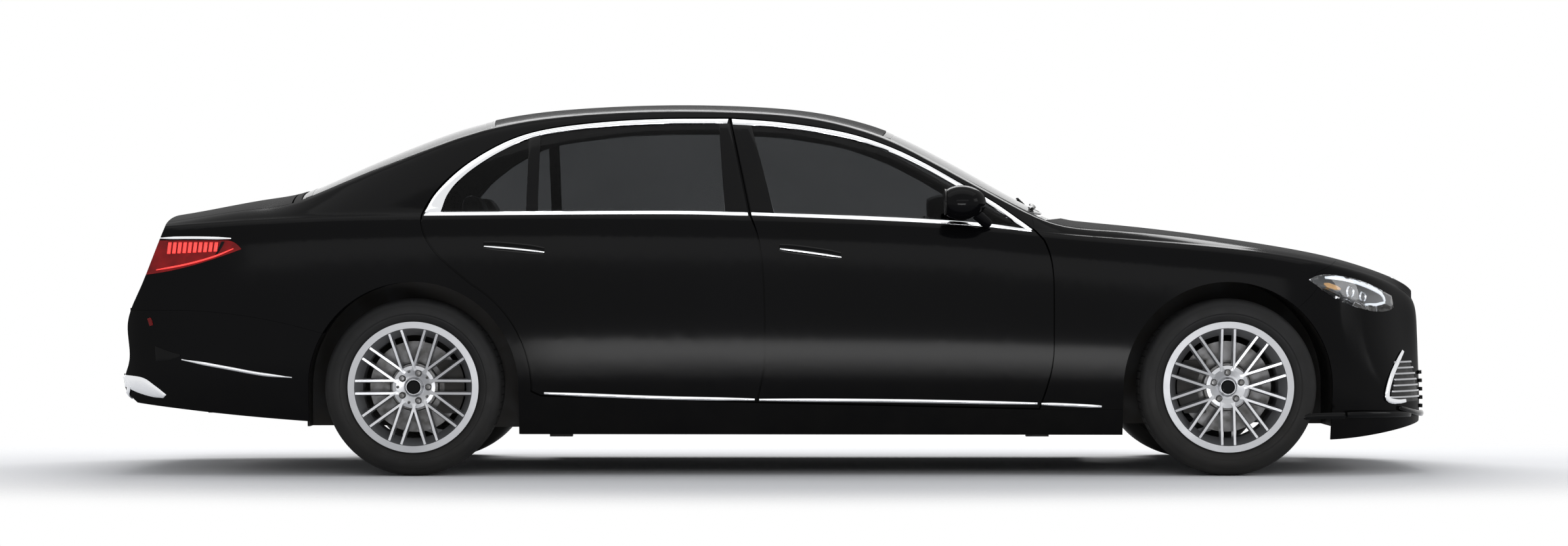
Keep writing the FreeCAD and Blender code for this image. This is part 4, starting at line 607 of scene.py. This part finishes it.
RING_SECTION = [(26.5, 84), (28, 89.5), (31, 89.5), (33.5, 84), (33.5, 66), (26.5, 66)]
CUTS_ROUND, SHOULDER_RADIUS, SHOULDER_SCALE = 72, 0.338, 30
BOLTS, BOLT_CIRCLE, BOLT_OUT, BOLT_RADIUS, BOLT_LENGTH, BOLT_DISH = 5, 0.058, 0.078, 0.0105, 0.016, 0.003


def turned(section, steps):
    """A closed section of (radius, place along the axle) in millimetres, spun round the Y axis."""
    none_selected()
    bpy.ops.mesh.primitive_circle_add(vertices=len(section), radius=1, fill_type="NOTHING")
    piece = bpy.context.object
    for vertex, (radius, along) in zip(piece.data.vertices, section):
        vertex.co = radius * MM, along * MM, 0
    edit("SELECT")
    bpy.ops.mesh.spin(steps=steps, angle=math.tau, center=(0, 0, 0), axis=(0, 1, 0))
    edited()
    outwards(piece)
    return piece


def tread_finish():
    """Rubber whose shoulder cuts follow the tyre's own map."""
    material = finish_of("tread_rubber", (0.009, 0.009, 0.0095), (0.013, 0.013, 0.013), 0.62, 0.82, 14, 500, 0.25,
                         0.0006, dust=0.08, Specular_IOR_Level=0.2)
    tree = material.node_tree
    fine = tree.nodes["Principled BSDF"].inputs["Normal"].links[0].from_node
    uv, split = added(tree, "UVMap", uv_map="round_and_across"), added(tree, "SeparateXYZ")
    cuts = added(tree, "Math", {1: 0.5}, operation="PINGPONG")
    sharp = added(tree, "MapRange", {"From Min": 0.0, "From Max": 0.09})
    shoulder = added(tree, "MapRange", {"From Min": 0.30, "From Max": 0.34})
    inverted = added(tree, "Math", {0: 1}, operation="SUBTRACT")
    mixed = added(tree, "Math", operation="MAXIMUM")
    bump = added(tree, "Bump", {"Strength": 0.9, "Distance": 0.004})
    linked(tree, (uv, 0, split, 0), (split, "X", cuts, 0), (cuts, 0, sharp, "Value"), (split, "Y", shoulder, "Value"),
           (shoulder, 0, inverted, 1), (sharp, 0, mixed, 0), (inverted, 0, mixed, 1), (mixed, 0, bump, "Height"),
           (bump, 0, fine, "Normal"))
    return material


def map_tyre(piece):
    """Gives the tyre a map: cuts round it, and how far out on the tread a point is."""
    layer = piece.data.uv_layers.new(name="round_and_across")
    for face in piece.data.polygons:
        middle = math.atan2(face.center.z, face.center.x)
        for index in face.loop_indices:
            co = piece.data.vertices[piece.data.loops[index].vertex_index].co
            angle = math.atan2(co.z, co.x)
            angle += math.tau * round((middle - angle) / math.tau)
            out = (math.hypot(co.x, co.z) - SHOULDER_RADIUS) * SHOULDER_SCALE
            layer.data[index].uv = (angle / math.tau * CUTS_ROUND, max(0.0, out))


def copied(piece, x, y, z, turn=0.0, flip=False):
    """A copy with its own mesh, turned about the Y axis, faced the other way if asked, and set in place."""
    copy = piece.copy()
    copy.data = piece.data.copy()
    bpy.context.scene.collection.objects.link(copy)
    matrix = Matrix.Translation((x, y, z)) @ Matrix.Rotation(turn, 4, "Y")
    if flip:
        matrix = matrix @ Matrix.Rotation(math.pi, 4, "Z")
    copy.data.transform(matrix)
    return copy


def wheel_bolts():
    """The wheel bolts with dished heads as one piece, made for the left side at the origin."""
    bolts = []
    for k in range(BOLTS):
        angle = math.tau * k / BOLTS + math.pi / 2
        place = (BOLT_CIRCLE * math.cos(angle), BOLT_OUT, BOLT_CIRCLE * math.sin(angle))
        bpy.ops.mesh.primitive_cylinder_add(vertices=6, radius=BOLT_RADIUS, depth=BOLT_LENGTH, location=place,
                                            rotation=(math.pi / 2, 0, 0))
        bolt = bpy.context.object
        edit("DESELECT")
        edited()
        for face in bolt.data.polygons:
            face.select = abs(face.normal.z) > 0.9
        edit()
        bpy.ops.mesh.inset(thickness=BOLT_DISH)
        bpy.ops.mesh.extrude_region_shrink_fatten(TRANSFORM_OT_shrink_fatten={"value": -BOLT_DISH})
        edited()
        bpy.ops.object.transform_apply(location=True, rotation=True, scale=True)
        bolts.append(bolt)
    alone(bolts[0])
    for bolt in bolts:
        bolt.select_set(True)
    bpy.ops.object.join()
    bevelled(bolts[0], 1.2, 40)
    return bolts[0]


def dress_wheels():
    """Each part is made once at the origin and copied to the four wheels."""
    tread = tread_finish()
    tyre = turned(TYRE_SECTION, 120)
    map_tyre(tyre)
    cap, ring, bolts = turned(CAP_SECTION, 48), turned(RING_SECTION, 48), wheel_bolts()
    for place, (x, y) in WHEEL_PLACES.items():
        made = copied(tyre, x, y, WHEEL_HEIGHT)
        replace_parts(made, "tyre_" + place)
        finished(made, "tread_tyre_" + place, "wheel_" + place, (tread, "tyre_rubber"), 40)
        bolt_turn = 0.0 if place.startswith("front") else REAR_BOLT_TURN
        for name, pattern, turn, look in (
            ("wheel_cap_", cap, 0.0, GLOSSY),
            ("wheel_cap_ring_", ring, 0.0, (ALLOY, "alloy")),
            ("wheel_bolts_", bolts, bolt_turn, (DISC, "alloy")),
        ):
            finished(copied(pattern, x, y, WHEEL_HEIGHT, turn, y < 0), name + place, "wheel_" + place, look)
    for pattern in (tyre, cap, ring, bolts):
        bpy.data.objects.remove(pattern)


dress_wheels()

# Lamps: a clear lens over a bowl at the front, with what shows inside, and light ribs at the rear
LAMP_FACING, LENS_DEPTH, BOWL_DEPTH, BOWL_SUNK = Vector((0.5, 1, 0.2)), 3, 2, 42
PROJECTOR_FACING, PROJECTOR_SUNK = (0.72, 0.68, 0.05), 0.034


def lamp_part(depth, sunk):
    """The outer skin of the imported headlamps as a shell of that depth, sunk towards the middle, in millimetres."""
    piece = NODES["headlamps"].copy()
    piece.data = piece.data.copy()
    piece.parent = None
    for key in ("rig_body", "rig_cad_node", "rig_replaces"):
        if key in piece:
            del piece[key]
    bpy.context.scene.collection.objects.link(piece)
    alone(piece)
    edit("SELECT")
    bpy.ops.mesh.remove_doubles(threshold=0.00005)
    bpy.ops.mesh.select_mode(type="FACE")
    bpy.ops.mesh.select_all(action="DESELECT")
    edited()
    for side in (RIGHT, LEFT):
        out = Vector((LAMP_FACING.x, LAMP_FACING.y * side, LAMP_FACING.z))
        ours = [f for f in piece.data.polygons if f.center.y * side > 0 and f.normal.dot(out) > 0.7 * out.length]
        max(ours, key=lambda f: f.center.dot(out) + 0.02 * math.sqrt(f.area)).select = True
    edit()
    bpy.ops.mesh.faces_select_linked_flat(sharpness=math.radians(24))
    bpy.ops.mesh.select_all(action="INVERT")
    bpy.ops.mesh.delete(type="FACE")
    edited()
    for vertex in piece.data.vertices:
        vertex.co.y -= math.copysign(sunk * MM, vertex.co.y)
    applied(piece, "SOLIDIFY", thickness=depth * MM, offset=-1)
    return piece


def projector(name, x, z, side, radius):
    """One projector: a bright ring round a domed glass, looking forwards and outwards."""
    place, out = on_skin(x * MM, z * MM, "side", side, "headlamps")
    place -= out * PROJECTOR_SUNK
    forward, outward, up = PROJECTOR_FACING
    facing = Vector((forward, side * outward, up)).to_track_quat("Y", "Z").to_matrix().to_4x4()
    ring = turned([(radius, -8), (radius + 5, -6), (radius + 6, 4), (radius + 1, 9), (radius - 2, 4)], 40)
    dome = turned([(0.05, 8), (radius * 0.45, 6.5), (radius * 0.8, 2.5), (radius - 1, -3), (radius - 1, -8),
                   (0.05, -8)], 40)
    for piece, part, look in ((ring, "ring", BRIGHT), (dome, "glass", CLEAR)):
        piece.data.transform(Matrix.Translation(place) @ facing)
        finished(piece, "%s_%s" % (name, part), "body", look)


def dress_headlamps():
    """Lens, bowl, light guides, amber reflector and two projectors on each side."""
    lens, bowl = lamp_part(LENS_DEPTH, 0), lamp_part(BOWL_DEPTH, BOWL_SUNK)
    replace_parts(lens, "headlamps")
    finished(lens, "headlamps_lens", "body", CLEAR, 60)
    finished(bowl, "headlamps_bowl", "body", (LAMP_BOWL, "clear_lamp"), 30)
    for side in (RIGHT, LEFT):
        tag = SIDE_NAMES[side]
        laid("day_light_top_" + tag, HEADLAMPS, GLOWING, *widened([(2176, 781), (2240, 777), (2315, 760), (2385, 735),
             (2428, 712), (2440, 686)], 13, 0.4), side=side, lift=-10, depth=6, crown=2)
        laid("day_light_low_" + tag, HEADLAMPS, GLOWING, *widened([(2440, 682), (2395, 673), (2345, 674)], 11, 0.6),
             side=side, lift=-10, depth=6, crown=2)
        laid("amber_reflector_" + tag, HEADLAMPS, (AMBER, "clear_lamp"),
             *widened([(2172, 757), (2206, 747), (2240, 735)], 17, 0.4), side=side, lift=-14, depth=5)
        projector("projector_rear_" + tag, 2281, 724, side, 20)
        projector("projector_front_" + tag, 2336, 704, side, 17)


def dress_tail_lamps():
    """Light ribs on the wings' and the lid's lamps, with a line and a dark band on the wings."""
    for side in (RIGHT, LEFT):
        tag = SIDE_NAMES[side]
        for k in range(10):
            x, y, foot = -2404 + k * 21, side * (492 + k * 16), 876 + k
            laid("tail_light_rib_%d_%s" % (k, tag), TAIL_LAMPS, GLOWING_RED, [(x, 921), (x - 4, foot)],
                 [(x + 13, 921), (x + 9, foot)], side=side, lift=1, rows=2, step=30, bevel=0.6)
            laid("lid_light_rib_%d_%s" % (k, tag), ("boot_lid", "lid_lamps", "rear"), GLOWING_RED, [(y, 915), (y, 872)],
                 [(y + side * 9, 915), (y + side * 9, 872)], lift=1, rows=2, step=30, bevel=0.6)
        laid("tail_light_line_" + tag, TAIL_LAMPS, GLOWING_RED, *widened([(-2452, 812), (-2330, 834), (-2220, 864),
             (-2140, 896)], 6, 0.5), side=side, lift=1.2)
        laid("tail_light_band_" + tag, TAIL_LAMPS, (GLOSS_BLACK, "red_lamp"),
             [(-2188, 924), (-2196, 905), (-2212, 872)], [(-2176, 924), (-2184, 905), (-2204, 874)], side=side, lift=1)


dress_headlamps()
dress_tail_lamps()

# Nose: the grille's frame and slats, curved in plan, and the slats and blades of the intakes
NOSE_LINE = [(0.20, 2.628), (0.30, 2.632), (0.452, 2.638), (0.519, 2.643), (0.629, 2.641), (0.69, 2.631),
             (0.738, 2.606), (0.768, 2.578), (0.80, 2.545)]
NOSE_SUNK, NOSE_BEND, NOSE_HALF = 0.002, 0.058, 0.405
GRILLE_OUTLINE = mirrored([(0, 473), (330, 475), (366, 492), (398, 560), (402, 630), (392, 700), (352, 758),
                           (300, 766), (0, 768)])
SLATS = [(500, 352), (538, 374), (576, 386), (614, 389), (652, 388), (690, 382), (728, 362)]  # height, half width


def nose_reach(y, z):
    """How far forward the curved nose comes at a place across and above."""
    for (low, near), (high, far) in zip(NOSE_LINE, NOSE_LINE[1:]):
        if z <= high:
            break
    share = min(max((z - low) / (high - low), 0), 1)
    return near + (far - near) * share - NOSE_SUNK - NOSE_BEND * (y / NOSE_HALF) ** 2


def dress_grille():
    """The bright frame, its slats, the centre bar and the dark backing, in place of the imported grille."""
    outer, inner = widened(GRILLE_OUTLINE, 24)
    surround = laid("grille_frame", NOSE, BRIGHT, outer, inner, depth=22, lift=-10, crown=4, step=14, bevel=1.5)
    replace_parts(surround, "grille")
    for k, (z, half) in enumerate(SLATS):
        laid("grille_slat_%d" % k, NOSE, GLOSSY, level(z + 9, -half, 0, half), level(z - 9, -half, 0, half), depth=10,
             lift=-14, crown=3, step=30)
        laid("grille_slat_line_%d" % k, NOSE, BRIGHT, level(z + 4, -half, 0, half), level(z - 3, -half, 0, half),
             depth=5, lift=-8, crown=1, step=30)
    laid("grille_centre_bar", NOSE, BRIGHT, [(-5, 488), (-5, 620), (-5, 752)], [(5, 488), (5, 620), (5, 752)], depth=10,
         lift=-9, crown=1)
    laid("grille_backing", NOSE, MATT, [(-392, 500), (-392, 620), (-345, 752)], [(392, 500), (392, 620), (345, 752)],
         depth=4, lift=-30, rows=16)


def dress_intakes(side):
    """Fins in the corner intake, each with painted shade below it: a dark strip laid over the opening down to the next
    fin, on one side.
    """
    for k in range(7):
        z, near, far = 303 + k * 23, side * (560 + k * 3), side * (800 - k * 14)
        places, name = (near, (near + far) / 2, far), "%d_%s" % (k, SIDE_NAMES[side])
        laid("intake_fin_" + name, NOSE_FRONT, (ALLOY, "chrome_trim"), level(z + 5, *places), level(z - 2, *places),
             lift=4, depth=9, rows=2, bevel=0.6)
        # painted shade: a flat black strip on the bumper stands in for the shadowed opening between two fins
        laid("intake_painted_shade_" + name, NOSE_FRONT, MATT, level(z - 3, *places), level(z - 17, *places), lift=0.6, depth=1.4,
             rows=2, bevel=0)


def dress_lower_nose():
    """The splitter on the wings and the bumper, the lower slats and the lip."""
    for side in (RIGHT, LEFT):
        tag = SIDE_NAMES[side]
        for node, run in (("front_wing_" + tag, [(2078, 232), (2160, 236), (2246, 238)]),
                          ("front_bumper", [(2262, 239), (2340, 240), (2460, 238), (2540, 236)])):
            laid("splitter_%s_%s" % (node, tag), ("body", node), GLOSSY, *widened(run, 14, 0.8), side=side, lift=8,
                 depth=16, crown=4)
    for k in range(5):
        z = 262 + k * 34
        laid("lower_slat_%d" % k, NOSE_FRONT, GLOSSY, level(z + 7, -480, 0, 480), level(z - 7, -480, 0, 480), lift=7,
             depth=14, rows=2, step=60)
    laid("lip_strip", NOSE_FRONT, GLOSSY, *widened(mirrored([(-760, 262), (-620, 238), (-300, 228), (0, 226)]),
         14, 0.4), lift=8, depth=16, crown=4, step=30)


# Tail: exhaust surrounds and lower panel, boot strip and plate recess
EXHAUST_OUTLINE = [(640, 392), (780, 388), (800, 350), (770, 312), (640, 306), (520, 312), (500, 350), (520, 388),
                   (640, 392)]
PLATE_OUTLINE = mirrored([(0, 882), (270, 880), (290, 866), (290, 754), (270, 740), (0, 738)])


def dress_lower_tail(side):
    """The corner trim, the exhaust surround with painted shade in its mouth, and the fins of the lower panel, on one
    side.
    """
    tag = SIDE_NAMES[side]
    laid("corner_trim_" + tag, TAIL_SIDE, BRIGHT, [(-2596, 396), (-2510, 386), (-2460, 356), (-2412, 318)],
         [(-2596, 352), (-2530, 326), (-2470, 310), (-2424, 306)], side=side, lift=3, depth=6, crown=2, step=8)
    outer, inner = widened(flipped(EXHAUST_OUTLINE, side), 14)
    laid("exhaust_surround_" + tag, TAIL_REAR, BRIGHT, outer, inner, lift=2, depth=10, crown=2, step=12)
    # painted shade: a flat black sheet laid over the opening inside the bright ring stands in for the dark of the
    # exhaust's mouth
    laid("exhaust_mouth_painted_shade_" + tag, TAIL_REAR, MATT, flipped([(520, 384), (650, 386), (782, 382)], side),
         flipped([(520, 318), (650, 312), (770, 318)], side), lift=1.2, depth=2)
    for k in range(4):
        y = side * (90 + k * 105)
        laid("tail_fin_%d_%s" % (k, tag), TAIL_REAR, GLOSSY, [(y - 5, 292), (y - 5, 322), (y - 5, 352)],
             [(y + 5, 292), (y + 5, 322), (y + 5, 352)], lift=-6, depth=16, rows=2)


def dress_boot():
    """The lid's strip and handle, and the plate recess in its frame."""
    laid("boot_strip", LID, BRIGHT, *widened(mirrored([(-480, 916), (-240, 922), (0, 924)]), 14, 0.5), lift=3, depth=5,
         crown=2, step=30)
    laid("plate_recess", LID, MATT, mirrored([(-275, 868), (0, 870)]), mirrored([(-275, 752), (0, 750)]), lift=0.8,
         depth=1.6, step=30)
    outer, inner = widened(PLATE_OUTLINE, 12)
    laid("plate_frame", LID, GLOSSY, outer, inner, lift=4, depth=8, crown=2, step=16)
    laid("boot_handle", LID, BRIGHT, *widened(mirrored([(-150, 880), (0, 881)]), 16, 0.6), lift=8, depth=12, crown=3)


# Glass: black borders and wipers
BORDERS = [
    ("windscreen", "base", [(1082, -300), (1098, 0)], [(1042, -300), (1058, 0)]),
    ("windscreen", "head", [(466, -540), (484, -300), (490, 0)], [(440, -556), (458, -300), (464, 0)]),
    ("rear_window", "head", [(-1140, -556), (-1162, -300), (-1168, 0)], [(-1166, -560), (-1188, -300), (-1194, 0)]),
    ("rear_window", "base", [(-1888, -640), (-1913, -330), (-1922, 0)], [(-1862, -636), (-1886, -330), (-1895, 0)]),
]
WIPERS = [("wiper_right", [(1030, -640), (1050, -380), (1062, -60)]),
          ("wiper_left", [(1010, 0), (1046, 240), (1022, 560)])]


def dress_glass():
    """Black borders of the windscreen and the rear window, and two wipers."""
    for node, where, first, second in BORDERS:
        laid("%s_border_%s" % (node, where), ("body", node, "top"), GLOSSY, mirrored(first, 1), mirrored(second, 1),
             lift=0.8, depth=1.2, step=30, bevel=0)
    for name, run in WIPERS:
        laid(name, SCREEN_TOP, MATT, *widened(run, 16, 0.4), lift=9, depth=12, crown=4, step=24)
        laid(name + "_blade", SCREEN_TOP, (RUBBER, "black_plastic"), *widened(run, 5, 0.8), lift=2.4, depth=4, step=24)


# Cabin: what the dashboard, the mirrors and the doors carry
VENT_PLACES = (-610, -190, 190, 590)
VENT_OUTLINE = mirrored([(0, 752), (44, 744), (52, 712), (44, 680), (0, 672)])
MIRROR_MIDDLE = (952, 1080)


def dress_cabin():
    """The inner mirror, and the dashboard's screens, vents, padding and trim line."""
    laid("inner_mirror", SCREEN_UNDER, GLOSSY, *widened(mirrored([(560, -120), (556, 0)], 1), 66, 0.8), lift=52,
         depth=18, crown=-4)
    laid("inner_mirror_stem", SCREEN_UNDER, MATT, [(540, -14), (560, -14), (600, -14)],
         [(540, 14), (560, 14), (600, 14)], lift=22, depth=44)
    laid("driver_screen", DASH, GLOSSY, [(225, 872), (380, 876), (535, 872)], [(225, 770), (380, 768), (535, 770)],
         lift=8, depth=14)
    laid("centre_screen", DASH, GLOSSY, mirrored([(-118, 812), (0, 814)]), mirrored([(-104, 640), (0, 638)]), lift=7,
         depth=12, rows=8)
    laid("dash_trim_line", DASH, BRIGHT, *widened([(-660, 742), (-300, 744), (-135, 744)], 7, 0.6), lift=4, depth=6,
         crown=1)
    laid("dash_padding", DASH, PADDED, [(-660, 846), (-400, 850), (-145, 846)], [(-660, 760), (-400, 757), (-145, 760)],
         lift=4, depth=6, crown=8, rows=8)
    for k, y in enumerate(VENT_PLACES):
        outer, inner = widened([(y + across, z) for across, z in VENT_OUTLINE], 8)
        laid("vent_ring_%d" % k, DASH, BRIGHT, outer, inner, lift=5, depth=10, crown=2, step=10)
        for row in range(4):
            z = 730 - row * 13
            laid("vent_blade_%d_%d" % (k, row), DASH, MATT, level(z + 2, y - 42, y, y + 42),
                 level(z - 2, y - 42, y, y + 42), lift=4, depth=9, rows=1)


def dress_mirror(side):
    """The mirror's glass and its rim."""
    door, mirror = "door_front_" + SIDE_NAMES[side], "mirror_" + SIDE_NAMES[side]
    outer, inner = widened(flipped(arc(MIRROR_MIDDLE, (78, 46)), side), 8)
    laid("mirror_rim_" + SIDE_NAMES[side], (door, mirror, "rear"), MATT, outer, inner, lift=4, depth=8, crown=1,
         step=12)
    upper = flipped(arc(MIRROR_MIDDLE, (76, 43), 10, math.pi), side)
    lower = [(y, 2 * MIRROR_MIDDLE[1] - z) for y, z in upper]
    laid("mirror_glass_" + SIDE_NAMES[side], (door, mirror, "rear"), BRIGHT, upper, lower, lift=2, depth=2, rows=8,
         step=10, bevel=0)


def dress_door_inside(side):
    """Padded door cards with an armrest, a bright line and a speaker ring, seen when the doors are open."""
    for place, x0, x1 in (("front_" + SIDE_NAMES[side], 60, 900), ("rear_" + SIDE_NAMES[side], -900, -130)):
        middle, seen = (x0 + x1) / 2, ("door_" + place,) * 2 + ("inner",)
        laid("door_card_" + place, seen, MATT, [(x0, 640), (middle, 640), (x1, 640)],
             [(x0 + 20, 380), (middle, 372), (x1 - 40, 380)], lift=8, depth=14, crown=6, rows=8, step=40, bevel=3,
             side=side)
        laid("door_panel_" + place, seen, PADDED, [(x0, 900), (middle, 900), (x1, 886)],
             [(x0, 742), (middle, 740), (x1, 738)], lift=9, depth=14, crown=10, rows=10, step=30, bevel=3, side=side)
        laid("armrest_" + place, seen, PADDED, *widened([(x0 + 60, 690), (middle, 696), (x1 - 120, 712)], 76, 0.55),
             lift=26, depth=44, crown=14, rows=10, step=24, bevel=4, side=side)
        laid("door_line_" + place, seen, BRIGHT, *widened([(x0 + 10, 766), (middle, 768), (x1 - 20, 764)], 6, 0.6),
             lift=24, depth=5, crown=1, side=side)
        outer, inner = widened(arc((x0 + 150, 470), (74, 74), 16), 7)
        laid("speaker_ring_" + place, seen, BRIGHT, outer, inner, lift=16, depth=5, crown=1, step=12, side=side)


# Seats: padded cushions and backs over their shells
CUSHION_VOXEL, PUFF_FRAMES, PUFF_PRESSURE = 0.011, 20, 4
CHANNEL_WIDTH, CHANNEL_DEPTH = 6, 9
FRONT_CUSHION = [(8, 335), (470, 345), (530, 400), (522, 448), (480, 456), (70, 418), (20, 400)]
FRONT_BACK = [(15, 375), (72, 405), (88, 450), (-40, 990), (-66, 1008), (-120, 1000), (-38, 430)]
FRONT_HEAD = [(-62, 1040), (-52, 1100), (-74, 1168), (-106, 1186), (-134, 1168), (-126, 1100), (-110, 1040)]
REAR_CUSHION = [(-1070, 335), (-612, 335), (-562, 390), (-568, 440), (-612, 446), (-960, 412), (-1040, 400)]
REAR_BACK = [(-1080, 380), (-985, 420), (-975, 450), (-1160, 960), (-1190, 975), (-1238, 960), (-1262, 880),
             (-1140, 430)]
REAR_HEAD = [(-1188, 990), (-1182, 1040), (-1206, 1104), (-1236, 1118), (-1270, 1104), (-1276, 1040), (-1256, 990)]
FRONT_SHELL = [(-10, 340), (6, 340), (-58, 430), (-128, 985), (-146, 985), (-72, 420)]
FRONT_BASE = [(0, 302), (500, 302), (524, 330), (8, 330)]
REAR_SHELL = [(-1120, 335), (-1095, 335), (-1150, 430), (-1268, 880), (-1285, 880), (-1175, 420)]
REAR_BASE = [(-1080, 302), (-600, 302), (-572, 330), (-1080, 330)]
SEAT_ROWS = [  # row, place across, width, cushion, back, head restraint, its width, shell, its width, base
    ("front", 400, 470, FRONT_CUSHION, FRONT_BACK, FRONT_HEAD, 260, FRONT_SHELL, 440, FRONT_BASE),
    ("rear", 340, 590, REAR_CUSHION, REAR_BACK, REAR_HEAD, 280, REAR_SHELL, 560, REAR_BASE),
]


def prism(profile, width, rounding):
    """A closed block across the middle from a side profile in millimetres, with rounded edges."""
    none_selected()
    bpy.ops.mesh.primitive_circle_add(vertices=len(profile), radius=1, fill_type="NGON")
    piece = bpy.context.object
    for vertex, (x, z) in zip(piece.data.vertices, profile):
        vertex.co = x * MM, -width / 2 * MM, z * MM
    edit("SELECT")
    bpy.ops.mesh.extrude_region_move(TRANSFORM_OT_translate={"value": (0, width * MM, 0)})
    edited()
    outwards(piece)
    bevelled(piece, rounding, 30, 4)
    return piece


def puffed(piece, cap):
    """Remeshed evenly, blown up as cloth and held to a cap, in millimetres, then subdivided once."""
    applied(piece, "REMESH", mode="VOXEL", voxel_size=CUSHION_VOXEL)
    before = [v.co.copy() for v in piece.data.vertices]
    cloth = piece.modifiers.new("cloth", "CLOTH")
    cloth.settings.use_pressure = True
    cloth.settings.uniform_pressure_force = PUFF_PRESSURE
    cloth.settings.quality = 4
    cloth.settings.effector_weights.gravity = 0
    cloth.point_cache.frame_start, cloth.point_cache.frame_end = 1, PUFF_FRAMES
    for frame_number in range(1, PUFF_FRAMES + 1):
        bpy.context.scene.frame_set(frame_number)
    bpy.context.view_layer.objects.active = piece
    bpy.ops.object.modifier_apply(modifier=cloth.name)
    for vertex, old in zip(piece.data.vertices, before):
        moved = vertex.co - old
        if moved.length > cap * MM:
            vertex.co = old + moved.normalized() * cap * MM
    bpy.context.scene.frame_set(1)
    applied(piece, "SUBSURF", levels=1, render_levels=1)
    return piece


def channelled(piece, lines, start, way, facing, half_width):
    """Sewn channels across a pad, at distances along way from start, and two down its sides; millimetres."""
    origin, along, out = (Vector(v) for v in (start, way, facing))
    along.normalize()
    out.normalize()
    for vertex in piece.data.vertices:
        offset = vertex.co / MM - origin
        if offset.dot(out) < 0:
            continue
        run, aside = offset.dot(along), abs(offset.y)
        cut = sum(math.exp(-((run - line) / CHANNEL_WIDTH) ** 2) for line in lines) if aside < half_width else 0
        cut = max(cut, math.exp(-((aside - half_width) / CHANNEL_WIDTH) ** 2))
        vertex.co -= out * min(cut, 1) * CHANNEL_DEPTH * MM


def head_posts(head):
    """The two round posts that carry a head restraint."""
    x, z, posts = sum(x for x, _ in head) / len(head), head[0][1] - 15, []
    for y in (-60, 60):
        none_selected()
        bpy.ops.mesh.primitive_cylinder_add(vertices=16, radius=0.0065, depth=0.07, location=(x * MM, y * MM, z * MM))
        bpy.ops.object.transform_apply(location=True, rotation=True, scale=True)
        posts.append(bpy.context.object)
        bevelled(posts[-1], 1, 30)
    return posts


def dress_seats():
    """One seat of each row is made at the middle and copied to both sides."""
    for row, place_y, width, cushion, back, head, head_width, shell, shell_width, base in SEAT_ROWS:
        seat = puffed(prism(cushion, width - 30, 18), 22)
        channelled(seat, [70, 140, 210, 280, 350], (cushion[2][0], 0, 400), (-1, 0, -0.09), (0.05, 0, 1), width * 0.3)
        rest = puffed(prism(back, width - 34, 16), 20)
        low, high = Vector((back[2][0], 0, back[2][1])), Vector((back[3][0], 0, back[3][1]))
        way = high - low
        channelled(rest, [90, 170, 250, 330, 410], low - Vector((24, 0, 0)), way, (way.z, 0, -way.x), width * 0.29)
        made = [  # part, pattern, look and, for a padded one, how full it is
            ("cushion", seat, PADDED, 0.7), ("back", rest, PADDED, 0.7),
            ("head_restraint", puffed(prism(head, head_width, 14), 10), PADDED, 0.8),
            ("shell", prism(shell, shell_width, 5), MATT, None), ("base", prism(base, shell_width + 20, 6), MATT, None),
        ]
        made += [("post_%d" % k, post, BRIGHT, None) for k, post in enumerate(head_posts(head))]
        for side in (RIGHT, LEFT):
            for part, pattern, look, fill in made:
                copy = copied(pattern, 0, side * place_y * MM, 0)
                finished(copy, "%s_seat_%s_%s" % (row, part, SIDE_NAMES[side]), "body", look, 60)
                if fill is not None:
                    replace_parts(copy, row + "_seats")
        for _, pattern, _, _ in made:
            bpy.data.objects.remove(pattern)


dress_grille()
dress_lower_nose()
dress_boot()
dress_glass()
dress_cabin()
for side in (RIGHT, LEFT):
    dress_intakes(side)
    dress_lower_tail(side)
    dress_mirror(side)
    dress_door_inside(side)
dress_seats()
